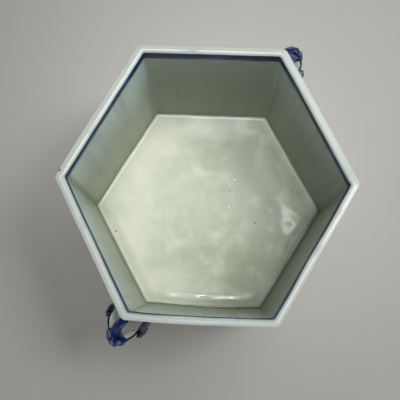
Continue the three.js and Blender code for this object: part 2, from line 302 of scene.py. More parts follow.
class ShapeTree(Graph):
    """A Geometry Nodes tree with named inputs, which ends in Realize Instances and Set Material."""

    def __init__(self, name: str, inputs: dict[str, str]) -> None:
        """Makes the tree.

        Args:
            name: its name.
            inputs: the names of its inputs after the geometry, with their socket types.
        """
        super().__init__(bpy.data.node_groups.new(name, "GeometryNodeTree"))
        face = self.tree.interface
        named = {"Geometry": "NodeSocketGeometry", **inputs, "Material": "NodeSocketMaterial"}
        for key, kind in named.items():
            face.new_socket(key, in_out="INPUT", socket_type=kind)
        face.new_socket("Geometry", in_out="OUTPUT", socket_type="NodeSocketGeometry")
        self.entry = self.node("NodeGroupInput")

    def input(self, name: str) -> Socket:
        """A named input's socket."""
        return self.out(self.entry, name)

    def close(self, geometry: Socket) -> "ShapeTree":
        """Ends the tree with a geometry.

        Args:
            geometry: what it makes.

        Returns:
            The tree.
        """
        real = self.out(self.node("GeometryNodeRealizeInstances", Geometry=geometry))
        dressed = self.node("GeometryNodeSetMaterial", Geometry=real, Material=self.input("Material"))
        self.node("NodeGroupOutput", Geometry=self.out(dressed))
        return self

    def shape(self, obj: bpy.types.Object, **values: object) -> bpy.types.Object:
        """Runs the tree on an object and keeps the result as its plain mesh.

        Args:
            obj: the object.
            **values: the named inputs' values, with underscores for spaces.

        Returns:
            The object.
        """
        modifier = obj.modifiers.new(self.tree.name, "NODES")
        modifier.node_group = self.tree
        for item in self.tree.interface.items_tree:
            key = item.name.replace(" ", "_")
            if item.in_out == "INPUT" and key in values:
                modifier[item.identifier] = values[key]
        return plain(obj)


def plain(obj: bpy.types.Object) -> bpy.types.Object:
    """Turns an object's modifiers into its plain mesh.

    Args:
        obj: the object.

    Returns:
        The object, without modifiers.
    """
    shaped = bpy.data.meshes.new_from_object(obj.evaluated_get(bpy.context.evaluated_depsgraph_get()))
    obj.modifiers.clear()
    obj.data = shaped
    return obj


def link(name: str, data: bpy.types.ID) -> bpy.types.Object:
    """Puts data in the scene as an object.

    Args:
        name: the object's name.
        data: its mesh, lamp or camera.

    Returns:
        The object.
    """
    made = bpy.data.objects.new(name, data)
    bpy.context.collection.objects.link(made)
    return made


def from_bmesh(name: str, mesh: bmesh.types.BMesh, closed: bool = True) -> bpy.types.Object:
    """Makes an object of a bmesh.

    Args:
        name: the object's name.
        mesh: the bmesh, which is freed.
        closed: whether it is a closed body, which is then smooth shaded with its faces outwards.

    Returns:
        The object.
    """
    if closed:
        bmesh.ops.recalc_face_normals(mesh, faces=mesh.faces)
    data = bpy.data.meshes.new(name)
    mesh.to_mesh(data)
    mesh.free()
    if closed:
        data.shade_smooth()
    return link(name, data)


def bridge(mesh: bmesh.types.BMesh, rows: Sequence[Sequence[bmesh.types.BMVert]],
           looped: bool = False) -> None:
    """Joins a row of closed rings of vertices with quads.

    Args:
        mesh: the bmesh that holds them.
        rows: the rings.
        looped: whether the last ring is joined to the first.
    """
    for low, high in zip(rows, [*rows[1:], *(rows[:1] if looped else [])]):
        for i in range(len(low)):
            j = (i + 1) % len(low)
            mesh.faces.new((low[i], low[j], high[j], high[i]))


def write_mark(obj: bpy.types.Object, mark: Mark, values: Sequence[float]) -> None:
    """Writes a point attribute, one value a vertex."""
    layer = obj.data.attributes.new(mark.value, "FLOAT", "POINT")
    layer.data.foreach_set("value", values)


def loft(name: str, rings: Sequence[Sequence[Vector]], looped: bool = False,
         marks: dict[Mark, Sequence[float]] | None = None) -> bpy.types.Object:
    """Skins a row of closed rings.

    Args:
        name: the object's name.
        rings: rings of equal length.
        looped: whether the row closes on itself, or else both ends get a fan.
        marks: point attributes, one value a ring.

    Returns:
        The object.
    """
    mesh = bmesh.new()
    rows = [[mesh.verts.new(p) for p in ring] for ring in rings]
    count = len(rows[0])
    bridge(mesh, rows, looped)
    for row in () if looped else (rows[0], rows[-1]):
        hub = mesh.verts.new(sum((v.co for v in row), Vector()) / count)
        for i in range(count):
            mesh.faces.new((row[i], hub, row[(i + 1) % count]))
    made = from_bmesh(name, mesh)
    for mark, values in (marks or {}).items():
        hubs = [] if looped else [values[0], values[-1]]
        write_mark(made, mark, [value for value in values for _ in range(count)] + hubs)
    return made


def line_object(name: str, lines: Iterable[Sequence[Vector]]) -> bpy.types.Object:
    """Makes an object of bare polylines, which a tree gives a body.

    Args:
        name: the object's name.
        lines: the points of each polyline.

    Returns:
        The object.
    """
    mesh = bmesh.new()
    for points in lines:
        verts = [mesh.verts.new(p) for p in points]
        for start, end in zip(verts, verts[1:]):
            mesh.edges.new((start, end))
    return from_bmesh(name, mesh, closed=False)


def fused(name: str, parts: Sequence[bpy.types.Object], grain: float, softening: int) -> bpy.types.Object:
    """Presses closed parts into one soft body, as wet clay is.

    Args:
        name: the object's name.
        parts: the parts, which are used up.
        grain: size of the remeshing voxels.
        softening: rounds of smoothing.

    Returns:
        The object.
    """
    mesh = bmesh.new()
    for part in parts:
        mesh.from_mesh(part.data)
        bpy.data.objects.remove(part)
    made = from_bmesh(name, mesh, closed=False)
    remesh = made.modifiers.new("fused", "REMESH")
    remesh.mode, remesh.voxel_size, remesh.use_smooth_shade = "VOXEL", grain, True
    softened = made.modifiers.new("softened", "SMOOTH")
    softened.factor, softened.iterations = 0.5, softening
    return plain(made)


def dress(obj: bpy.types.Object, material: bpy.types.Material) -> None:
    """Gives an object one material."""
    obj.data.materials.clear()
    obj.data.materials.append(material)


def settle(obj: bpy.types.Object, material: bpy.types.Material, slot: str, *nodes: str) -> bpy.types.Object:
    """Dresses a finished piece and puts it in the frame in place of its CAD nodes.

    Args:
        obj: the piece.
        material: its finish.
        slot: the record's slot that the finish belongs to; it is not used.
        *nodes: the CAD nodes that it stands for.

    Returns:
        The piece.
    """
    dress(obj, material)
    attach(obj, BODY)
    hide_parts(*nodes)
    log.info("%s: %d faces", obj.name, len(obj.data.polygons))
    return obj


def new_material(name: str) -> tuple[bpy.types.Material, Graph]:
    """An empty node material and its graph.

    Args:
        name: the material's name.

    Returns:
        The material and the graph.
    """
    material = bpy.data.materials.new(name)
    material.use_nodes = True
    return material, Graph(material.node_tree)


def smoothstep(value: float, low: float, high: float) -> float:
    """A smooth rise from 0 where value is low to 1 where it is high."""
    t = min(1.0, max(0.0, (value - low) / (high - low)))
    return t * t * (3 - 2 * t)


def heading(angle: float) -> Vector:
    """The level direction at an angle from +X."""
    return Vector((math.cos(angle), math.sin(angle), 0))


def catmull(points: Sequence[Vector], t: float) -> Vector:
    """A point on the smooth curve through some points.

    Args:
        points: the points.
        t: 0 at the first and 1 at the last.

    Returns:
        The point.
    """
    spans = len(points) - 1
    span = min(int(t * spans), spans - 1)
    u = t * spans - span
    a, b, c, d = (points[min(max(span + i, 0), spans)] for i in (-1, 0, 1, 2))
    first, second = (c - a) * 0.5, (d - b) * 0.5
    return (b * (2 * u ** 3 - 3 * u ** 2 + 1) + first * (u ** 3 - 2 * u ** 2 + u)
            + c * (3 * u ** 2 - 2 * u ** 3) + second * (u ** 3 - u ** 2))


@dataclass(frozen=True)
class HexPlan:
    """The burner's leaning hexagonal plan, as in the CAD model, with the slips of the hand that built it.

    Attributes:
        mouth: middle of the mouth to a corner on X, and to the back side.
        foot: the same at the basin floor.
        height: table to the crest of the rim.
        depth: crest of the rim to the basin floor.
        shifts: how far each corner stands from its true place.
        bows: how far each side bows out at its middle.
        inner_top: how much further in than its true place each side's inside stands at the rim.
        inner_foot: and at the basin floor.
        crests: how far in over the rim its arris stands on each side, as a share of its width.
        line_tops: depth below the crest of the upper edge of the line painted inside each side.
        line_lows: and of its lower edge.
        edge_shine: how bright the painted highlight and thin glaze along the floor's edge is at each side.
        rim_shine: the same along the rim's arris.
        depths: how dark each side is painted inside, outside and on the rim: painted shade on the sides turned
            from the light.
        grooves: how deep the finger's groove along the floor's edge is at each side.
        pools: how dark each corner is painted, anticlockwise from +X: glaze gathered there and painted shade.
        arc_steps: steps round each corner, an even number.
        side_steps: steps along each side.
        blend_steps: steps to either side of a corner over which one side's values turn into the next one's.
    """

    mouth: tuple[float, float] = (120 * MM, 111.3 * MM)
    foot: tuple[float, float] = (119 * MM, 104.5 * MM)
    height: float = 108 * MM
    depth: float = 86.5 * MM
    shifts: tuple[tuple[float, float], ...] = (
        (-0.2 * MM, 1.9 * MM), (-0.5 * MM, -0.5 * MM), (-0.4 * MM, -0.4 * MM),
        (0, -1.0 * MM), (1.1 * MM, -0.2 * MM), (0.1 * MM, -0.2 * MM))
    bows: tuple[float, ...] = (0.6 * MM, 0.3 * MM, 0.4 * MM, 0.2 * MM, 2.4 * MM, 0.2 * MM)
    inner_top: tuple[float, ...] = (0.6 * MM, 0.25 * MM, 0.9 * MM, 0.3 * MM, -0.2 * MM, -0.6 * MM)
    inner_foot: tuple[float, ...] = (1.5 * MM, 2.1 * MM, 1.8 * MM, 1.25 * MM, 2.5 * MM, 1.5 * MM)
    crests: tuple[float, ...] = (0.71, 0.63, 0.72, 0.49, 0.44, 0.41)
    line_tops: tuple[float, ...] = (0.75 * MM, 0.6 * MM, 0.8 * MM, 0.6 * MM, 0.5 * MM, 0.6 * MM)
    line_lows: tuple[float, ...] = (4.6 * MM, 7.0 * MM, 7.4 * MM, 9.5 * MM, 11 * MM, 9.5 * MM)
    edge_shine: tuple[float, ...] = (0.5, 1.0, 1.0, 0.5, 0.3, 0.2)
    rim_shine: tuple[float, ...] = (0.2, 0.8, 1.0, 0.45, 0.15, 1.0)
    depths: tuple[float, ...] = (0.45, 0.8, 0.05, 0.05, 0.0, 0.35)
    grooves: tuple[float, ...] = (0.5, 0.1, 0.2, 0.55, 0.5, 1.0)
    pools: tuple[float, ...] = (0.6, 0.5, 0.5, 0.9, 0.6, 0.5)
    arc_steps: int = 12
    side_steps: int = 30
    blend_steps: int = 10

    @property
    def floor(self) -> float:
        """Height of the basin floor."""
        return self.height - self.depth

    @property
    def columns(self) -> int:
        """Points for each corner and the side after it."""
        return self.arc_steps + self.side_steps

    def around(self, values: Sequence[float]) -> list[float]:
        """Spreads one value a side over a ring's points, turning smoothly from side to side at the corners.

        Args:
            values: the values, in the order of Side.

        Returns:
            One value a point of a ring.
        """
        middle, reach = self.arc_steps / 2, self.blend_steps
        spread = []
        for k, value in enumerate(values):
            later = values[(k + 1) % len(values)]
            for j in range(self.columns):
                start = smoothstep(j - middle, -reach, reach)
                end = smoothstep(j - middle - self.columns, -reach, reach)
                spread.append((values[k - 1] + (value - values[k - 1]) * start) + (later - value) * end)
        return spread

    def size_at(self, z: float) -> tuple[float, float]:
        """The half sizes at a height."""
        share = (self.height - z) / self.depth
        return tuple(top + (low - top) * share for top, low in zip(self.mouth, self.foot))

    def angles(self, size: tuple[float, float]) -> list[float]:
        """The angle at which each side faces, in the order of Side."""
        lean = math.atan2(size[0] / 2, size[1])
        return [lean, math.pi / 2, math.pi - lean, math.pi + lean, math.pi * 1.5, math.tau - lean]

    def corners(self, size: tuple[float, float], inset: float) -> list[Vector]:
        """The corners, drawn in by an inset measured square to the sides.

        Args:
            size: the half sizes.
            inset: how far the sides move in.

        Returns:
            Six points, anticlockwise from +X.
        """
        c, f = size
        slant = math.hypot(f, c / 2)
        tip = c - inset * slant / f
        shoulder = c / 2 - inset * (slant - c / 2) / f
        flat = f - inset
        return [Vector((x, y, 0)) for x, y in ((tip, 0), (shoulder, flat), (-shoulder, flat), (-tip, 0),
                                               (-shoulder, -flat), (shoulder, -flat))]

    def ring(self, z: float, inset: float, radius: float,
             size: tuple[float, float] | None = None) -> list[Vector]:
        """The plan at a height with rounded corners and the hand's slips.

        Args:
            z: the height.
            inset: how far the sides move in.
            radius: the corners' rounding.
            size: the half sizes, or None for those of the leaning body.

        Returns:
            Points in order, columns for each corner and side.
        """
        size = size or self.size_at(z)
        slip = max(0.0, 1 - inset / size[1])
        centres = [corner + Vector((*shift, 0)) * slip
                   for corner, shift in zip(self.corners(size, inset + radius), self.shifts)]
        angles = self.angles(size)
        rise = UP * z
        points: list[Vector] = []
        for k, centre in enumerate(centres):
            start = angles[k - 1] - (math.tau if k == 0 else 0)
            turn = angles[k] - start
            points += [centre + heading(start + turn * i / self.arc_steps) * radius + rise
                       for i in range(self.arc_steps + 1)]
            out = heading(angles[k])
            first, last = points[-1], centres[(k + 1) % len(centres)] + out * radius + rise
            bow = self.bows[k] * slip * (0.4 + 0.6 * z / self.height)
            shares = [i / self.side_steps for i in range(1, self.side_steps)]
            points += [first.lerp(last, share) + out * bow * (1 - (2 * share - 1) ** 2) for share in shares]
        return points


def hand_pressed_tree() -> ShapeTree:
    """The tree that gives a body piece the unevenness of slabs pressed by hand.

    Returns:
        The tree: broad and fine wander in all directions, and shallow dents in the floor.
    """
    g = ShapeTree("hand_pressed", dict.fromkeys(
        ("Broad", "Broad Scale", "Fine", "Fine Scale", "Dent", "Dent Scale"), NUMBER))
    at = g.out(g.node("GeometryNodeInputPosition"))

    def wander(amount: str, scale: str) -> Socket:
        """A noise vector around zero."""
        centred = g.vector("SUBTRACT", g.noise(g.input(scale), 1, at, 1), (0.5, 0.5, 0.5))
        return g.vector("SCALE", centred, g.input(amount))

    floor = g.node("GeometryNodeInputNamedAttribute", {"data_type": "FLOAT"}, Name=Mark.FLOOR.value)
    dent = (g.noise(g.input("Dent Scale"), 2, at) - 0.5) * g.input("Dent") * g.out(floor)
    move = g.vector("ADD", wander("Broad", "Broad Scale"), wander("Fine", "Fine Scale"))
    move = g.vector("ADD", move, g.joined(0.0, 0.0, dent))
    return g.close(g.out(g.node("GeometryNodeSetPosition", Geometry=g.input("Geometry"), Offset=move)))


def ridge_tree() -> ShapeTree:
    """The tree that rolls polylines into clay ridges, thinner towards both ends.

    Returns:
        The tree.
    """
    g = ShapeTree("rolled_ridge", {"Radius": NUMBER, "Taper": NUMBER})
    curve = g.node("GeometryNodeMeshToCurve", Mesh=g.input("Geometry"))
    along = g.out(g.node("GeometryNodeSplineParameter"), "Factor")
    slender = 1 - g.input("Taper") * abs(along * 2 - 1)
    sized = g.node("GeometryNodeSetCurveRadius", Curve=g.out(curve), Radius=slender)
    section = g.node("GeometryNodeCurvePrimitiveCircle", Resolution=10, Radius=g.input("Radius"))
    body = g.node("GeometryNodeCurveToMesh", Curve=g.out(sized), Fill_Caps=True)
    g.feed(body.inputs["Profile Curve"], g.out(section))
    return g.close(g.out(body))


def curl_tree() -> ShapeTree:
    """The tree that sets a spiral curl on every point, facing as the point's own attribute says.

    Returns:
        The tree.
    """
    g = ShapeTree("mane_curls", {"Radius": NUMBER, "Turns": NUMBER, "Ridge": NUMBER,
                                 "Reverse": "NodeSocketBool"})
    spiral = g.node("GeometryNodeCurveSpiral", Resolution=18, Rotations=g.input("Turns"), Height=0.45)
    for key, share in (("Start Radius", 0.1), ("End Radius", 1.0)):
        g.feed(spiral.inputs[key], g.input("Radius") * share)
    g.feed(spiral.inputs["Reverse"], g.input("Reverse"))
    section = g.node("GeometryNodeCurvePrimitiveCircle", Resolution=8, Radius=g.input("Ridge"))
    ridge = g.node("GeometryNodeCurveToMesh", Curve=g.out(spiral), Fill_Caps=True)
    g.feed(ridge.inputs["Profile Curve"], g.out(section))
    facing = g.node("GeometryNodeInputNamedAttribute", {"data_type": "FLOAT_VECTOR"}, Name="facing")
    size = g.node("GeometryNodeInputNamedAttribute", {"data_type": "FLOAT"}, Name="size")
    turned = g.node("FunctionNodeAlignRotationToVector", {"axis": "Z"}, Vector=g.out(facing))
    size_vector = g.joined(g.out(size), g.out(size), g.out(size))
    placed = g.node("GeometryNodeInstanceOnPoints", Points=g.input("Geometry"), Instance=g.out(ridge),
                    Rotation=g.out(turned), Scale=size_vector)
    return g.close(g.out(placed))


@dataclass(frozen=True)
class Porcelain:
    """Clear pale green glaze over grey-white porcelain, with cobalt lines painted under it.

    Attributes:
        outer: the glaze outside and on the rim.
        cool: its bluish cast where it is thick.
        outer_deep: the rim and the outside where they are painted darker as shade, on the sides turned from the
            light.
        wall: the glaze inside, on the walls, painted darker than outside as the shade inside the basin.
        wall_reflection: paler bluish painted reflection and light on the walls towards the mouth.
        reflection_heights: where that painted reflection starts and is full.
        wall_deep: darker glaze for the walls' streaks, and painted shade on the sides turned from the light.
        pale: the floor where the glaze is thin.
        green: the floor's greener glaze, also painted as shade towards the right and the front.
        painted_sheen: painted sheen of light on the floor, in blotches and towards its edges, most at the left.
        pooled: glaze gathered in the seams and corners, darkened further there as painted shade.
        bare: unglazed body on the underside and the soles.
        bare_dark: the darker grain in it.
        cobalt: the painted line.
        thin: the line where the brush ran dry.
        thin_glaze: the pale line over the arrises: glaze run thin there, brightened as a painted highlight.
        spots: iron spots in the floor's glaze: place in millimetres and radius.
        specks_and_glints: white flecks in it, partly flaws and partly painted glints of light.
        chips: small dark chips in the rim.
        iron: the spots' colour.
        white: the colour of the flecks and glints.
        chipped: the chips' colour.
        unit: the stroke's width in the key-fret band.
        fret_foot: height of the fret's lower edge.
        fret: its strokes in units: left, right, low and high, over a repeat of eight.
        rules: low and high edges, in millimetres, of the level lines round the outside.
        panel: low and high edges of the panels, between which the frames are drawn.
        frames: each frame's inset from the panel's edge, and its width.
    """

    outer: tuple = (0.585, 0.63, 0.565)
    cool: tuple = (0.52, 0.595, 0.575)
    outer_deep: tuple = (0.38, 0.43, 0.40)
    wall: tuple = (0.34, 0.38, 0.30)
    wall_reflection: tuple = (0.49, 0.62, 0.63)
    reflection_heights: tuple = (50 * MM, 104 * MM)
    wall_deep: tuple = (0.20, 0.225, 0.165)
    pale: tuple = (0.64, 0.675, 0.555)
    green: tuple = (0.45, 0.50, 0.38)
    painted_sheen: tuple = (0.90, 0.93, 0.78)
    pooled: tuple = (0.16, 0.19, 0.12)
    bare: tuple = (0.62, 0.55, 0.45)
    bare_dark: tuple = (0.45, 0.36, 0.27)
    cobalt: tuple = (0.004, 0.012, 0.060)
    thin: tuple = (0.012, 0.050, 0.200)
    thin_glaze: tuple = (0.92, 0.94, 0.88)
    spots: tuple = ((-88.3, -26.5, 0.9), (47.6, -12.7, 0.9), (49.5, -64.7, 0.6), (21.4, 18.3, 0.6),
                    (28, 14.5, 0.6), (29.8, 19.7, 0.5), (-0.3, 9.3, 0.5), (82.6, 21.8, 0.5))
    specks_and_glints: tuple = ((21.6, 2.2, 0.9), (26, 30, 1.0), (30, 26, 0.6))
    chips: tuple = ((-115.9, 3.8, 1.25),)
    iron: tuple = (0.10, 0.08, 0.05)
    white: tuple = (0.92, 0.93, 0.88)
    chipped: tuple = (0.07, 0.06, 0.045)
    unit: float = 1.25 * MM
    fret_foot: float = 88 * MM
    fret: tuple = ((0, 1, 0, 7), (0, 7, 6, 7), (6, 7, 2, 7), (2, 7, 2, 3), (2, 3, 2, 5), (0, 8, 0, 1))
    rules: tuple = ((86, 86.8), (97.6, 98.6), (22.5, 24.1))
    panel: tuple = (22.5 * MM, 88 * MM)
    frames: tuple = ((5 * MM, 1.1 * MM), (7.4 * MM, 0.5 * MM))

    def material(self) -> bpy.types.Material:
        """Builds the material.

        Returns:
            The material.
        """
        material, g = new_material("celadon_glaze")
        x, y, z = g.axes(g.place())
        inside, floor, bare = (g.mark(mark) for mark in (Mark.INSIDE, Mark.FLOOR, Mark.BARE))
        deep = g.mark(Mark.DEEP)
        cloud = g.noise(14, 3) * 0.65 + g.noise(48, 2) * 0.35
        outer = g.mix(g.step(cloud, 0.42, 0.66), self.outer, self.cool)
        # Painted shade: the rim and the outside darker on the sides turned from the light.
        outer = g.mix(deep * 0.3, outer, self.outer_deep)
        colour = g.mix(inside, outer, self._walls(g, x, y, z, cloud, deep))
        colour = g.mix(floor, colour, self._floor(g, x, y, cloud))
        # Gathered glaze and painted shade in the seams and corners.
        colour = g.mix(g.mark(Mark.POOL), colour, self.pooled)
        # Painted highlight along the arrises, partly the glaze run thin there.
        colour = g.mix(g.mark(Mark.THIN) * g.step(g.noise(45, 2), 0.25, 0.5), colour, self.thin_glaze)
        on_rim = g.step(z, 104 * MM, 105 * MM)
        # The white flecks are partly flaws and partly painted glints of light.
        for where, dots, ink in ((floor, self.spots, self.iron), (floor, self.specks_and_glints, self.white),
                                 (on_rim, self.chips, self.chipped)):
            colour = self._dots(g, colour, x, y, where, dots, ink)
        colour = self._inner_line(g, colour, z, inside)
        colour = self._outside(g, colour, z, inside)
        sole = g.mix(g.step(g.noise(300, 3), 0.4, 0.7) * 0.35, self.bare, self.bare_dark)
        colour = g.mix(bare, colour, sole)
        height = g.noise(55, 2) * 0.7 + g.noise(170, 2) * 0.3
        bump = g.node("ShaderNodeBump", Strength=0.25, Distance=0.8 * MM, Height=height)
        satin = inside * (1 - floor) * 0.16
        gloss = (0.10 + g.noise(60, 2) * 0.10 + satin) * (1 - bare) + bare * 0.85
        shader = g.node("ShaderNodeBsdfPrincipled", Base_Color=colour, Roughness=gloss, IOR=1.43,
                        Normal=g.out(bump), Coat_Weight=floor * 0.5 * (1 - bare), Coat_Roughness=0.08)
        g.node("ShaderNodeOutputMaterial", Surface=g.out(shader))
        return material

    def _walls(self, g: Graph, x: Socket, y: Socket, z: Socket, cloud: Socket, deep: Socket) -> Socket:
        """The walls inside: painted reflection, paler and bluish, towards the mouth, painted shade on the sides
        turned from the light, and streaked.

        Args:
            g: the material's graph.
            x: the place on X.
            y: the place on Y.
            z: the height.
            cloud: broad noise around 0.5.
            deep: how dark the side is painted as shade.

        Returns:
            The colour.
        """
        # The walls' own colour is kept dark as painted shade; painted reflection and light make them paler and
        # bluish towards the mouth.
        rise = g.step(z + (cloud - 0.5) * 60 * MM, *self.reflection_heights)
        wall = g.mix(rise * 0.8, self.wall, self.wall_reflection)
        # Painted shade on the sides turned from the light, stronger higher up.
        wall = g.mix(deep * (0.5 + 0.5 * g.step(z, 20 * MM, 80 * MM)), wall, self.wall_deep)
        streaks = g.noise(1.0, 3, g.joined(x * 110, y * 110, z * 16))
        return g.mix(g.step(streaks, 0.42, 0.72) * 0.3, wall, self.wall_deep)

    def _floor(self, g: Graph, x: Socket, y: Socket, cloud: Socket) -> Socket:
        """The floor: greener as painted shade towards the right and the front, with painted sheen at the left
        and in blotches.

        Args:
            g: the material's graph.
            x: the place on X.
            y: the place on Y.
            cloud: broad noise around 0.5.

        Returns:
            The colour.
        """
        # Painted shade: greener and darker towards the right and the front.
        shade_drift = x * 1.5 - y * 1.3
        basin = g.mix(g.step(cloud + shade_drift, 0.22, 0.80), self.pale, self.green)
        # Painted sheen, stronger towards the edges and most at the left.
        away = g.math("SQRT", x * x + y * y) - x * 0.5
        basin = g.mix(g.step(away, 55 * MM, 115 * MM) * 0.55, basin, self.painted_sheen)
        basin = g.mix(g.step(g.noise(30, 2), 0.36, 0.76) * 0.3, basin, self.green)
        # Painted sheen in blotches.
        return g.mix(g.step(g.noise(46, 2), 0.40, 0.84) * 0.55, basin, self.painted_sheen)

    def _dots(self, g: Graph, colour: Socket, x: Socket, y: Socket, where: Socket, dots: Sequence[tuple],
              ink: tuple) -> Socket:
        """Adds small round flaws to the glaze.

        Args:
            g: the material's graph.
            colour: the colour so far.
            x: the place on X.
            y: the place on Y.
            where: 1 where the flaws may show.
            dots: each flaw's place in millimetres and its radius.
            ink: their colour.

        Returns:
            The colour with the flaws.
        """
        found: Socket | None = None
        for px, py, radius in dots:
            away = g.math("SQRT", (x - px * MM) * (x - px * MM) + (y - py * MM) * (y - py * MM))
            dot = 1 - g.step(away, radius * 0.6 * MM, radius * 1.3 * MM)
            found = dot if found is None else found.most(dot)
        return g.mix(found * where * 0.8, colour, ink)

    def _stroke(self, g: Graph, colour: Socket, share: Socket) -> Socket:
        """Lays a brush stroke of cobalt under the glaze, thinner here and there."""
        brush = g.step(g.noise(90, 3), 0.45, 0.75)
        return g.mix(share, colour, g.mix(brush, self.cobalt, self.thin))

    def _inner_line(self, g: Graph, colour: Socket, z: Socket, inside: Socket) -> Socket:
        """Paints the line inside the mouth, with a ragged lower edge.

        Args:
            g: the material's graph.
            colour: the colour so far.
            z: the height.
            inside: 1 on the basin's inside.

        Returns:
            The colour with the line.
        """
        ragged = z + (g.noise(160, 2) - 0.5) * 1.0 * MM + (g.noise(25, 1) - 0.5) * 2.4 * MM
        soft = 0.3 * MM
        above, below = ragged - g.mark(Mark.LINE_LOW), g.mark(Mark.LINE_TOP) - z
        line = g.step(above, -soft, soft) * g.step(below, -soft, soft)
        return self._stroke(g, colour, line * g.step(inside, 0.45, 0.55))

    def _outside(self, g: Graph, colour: Socket, z: Socket, inside: Socket) -> Socket:
        """Paints the key-fret band under the rim, the panels' double frames and the feet's edge lines.

        Args:
            g: the material's graph.
            colour: the colour so far.
            z: the height.
            inside: 1 on the basin's inside.

        Returns:
            The colour with the painting.
        """
        wobble = (g.noise(70, 1) - 0.5) * 0.5 * MM
        along, height = g.mark(Mark.ALONG) + wobble, z + wobble
        half, trim = g.mark(Mark.HALF), g.mark(Mark.TRIM)
        on_wall = g.step(half, 10 * MM, 20 * MM)
        u = g.math("FRACT", along / (8 * self.unit)) * 8
        v = (height - self.fret_foot) / self.unit
        drawn = g.step(self._bars(u, v), -0.06, 0.06)
        for low, high in self.rules:
            drawn = drawn.most(self._band(g, height, low * MM, high * MM))
        low, high = self.panel
        for inset, width in self.frames:
            gap = (half - abs(along) - inset).least(high - inset - height).least(height - low - inset)
            drawn = drawn.most(1 - g.step(abs(gap), width * 0.4, width * 0.6))
        drawn = (drawn * on_wall).most(self._band(g, trim, 1.0 * MM, 2.2 * MM))
        return self._stroke(g, colour, drawn * (1 - g.step(inside, 0.02, 0.05)) * 0.92)

    def _band(self, g: Graph, value: Socket, low: float, high: float) -> Socket:
        """1 where a value is between two others, with soft edges."""
        soft = 0.15 * MM
        return g.step(value, low - soft, low + soft) * (1 - g.step(value, high - soft, high + soft))

    def _bars(self, u: Socket, v: Socket) -> Socket:
        """How far a place is inside the nearest stroke of the fret.

        Args:
            u: the place along the band, in units from the start of its repeat.
            v: its height above the band's foot, in units.

        Returns:
            The distance in units, below 0 outside every stroke.
        """
        depth: Socket | None = None
        for left, right, low, high in self.fret:
            across = (right - left) / 2 - abs(u - (left + right) / 2)
            inner = across.least((high - low) / 2 - abs(v - (low + high) / 2))
            depth = inner if depth is None else depth.most(inner)
        return depth


@dataclass(frozen=True)
class Cobalt:
    """Cobalt painting over the handles, lighter on the raised lines and bare white where the brush kept off.

    Attributes:
        deep: where the pigment is thick.
        royal: where it is thinner.
        light: on the raised lines.
        white: the bare glaze.
    """

    deep: tuple = (0.002, 0.004, 0.013)
    royal: tuple = (0.003, 0.022, 0.125)
    light: tuple = (0.26, 0.42, 0.52)
    white: tuple = (0.86, 0.88, 0.82)

    def material(self) -> bpy.types.Material:
        """Builds the material.

        Returns:
            The material.
        """
        material, g = new_material("cobalt_glaze")
        wash = g.mark(Mark.WASH)
        brush = g.step(g.noise(190, 3) + wash * 0.5, 0.5, 0.8)
        colour = g.mix(brush, self.deep, self.royal)
        stroke = 1 - g.step(abs(g.noise(140, 1) - 0.5), 0.004, 0.03)
        colour = g.mix(stroke * (1 - wash) * g.step(g.noise(60, 1), 0.4, 0.55) * 0.55, colour, self.light)
        worn = g.mark(Mark.RIDGE) * g.step(g.noise(400, 2), 0.35, 0.65)
        colour = g.mix(worn * 0.7, colour, self.light)
        ragged = g.mark(Mark.WHITE) + (g.noise(350, 2) - 0.5) * 0.5
        colour = g.mix(g.step(ragged, 0.4, 0.6), colour, self.white)
        bump = g.node("ShaderNodeBump", Strength=0.15, Distance=0.4 * MM, Height=g.noise(260, 2))
        shader = g.node("ShaderNodeBsdfPrincipled", Base_Color=colour, Roughness=0.08 + g.noise(90, 2) * 0.08,
                        IOR=1.45, Normal=g.out(bump))
        g.node("ShaderNodeOutputMaterial", Surface=g.out(shader))
        return material


@dataclass(frozen=True)
class Row:
    """One closed ring of a body piece.

    Attributes:
        z: its height.
        inset: how far it is drawn in from the plan.
        radius: the rounding of its corners.
        inside: 1 on the basin's inside.
        floor: 1 on the basin's floor.
        pool: how much glaze has gathered, darkened further as painted shade.
        bare: 1 where the body is unglazed.
        thin: 1 where the glaze ran thin over an arris, painted brighter there as a highlight.
        sunk: depth of a finger's groove.
    """

    z: float
    inset: float
    radius: float
    inside: float = 0
    floor: float = 0
    pool: float = 0
    bare: float = 0
    thin: float = 0
    sunk: float = 0


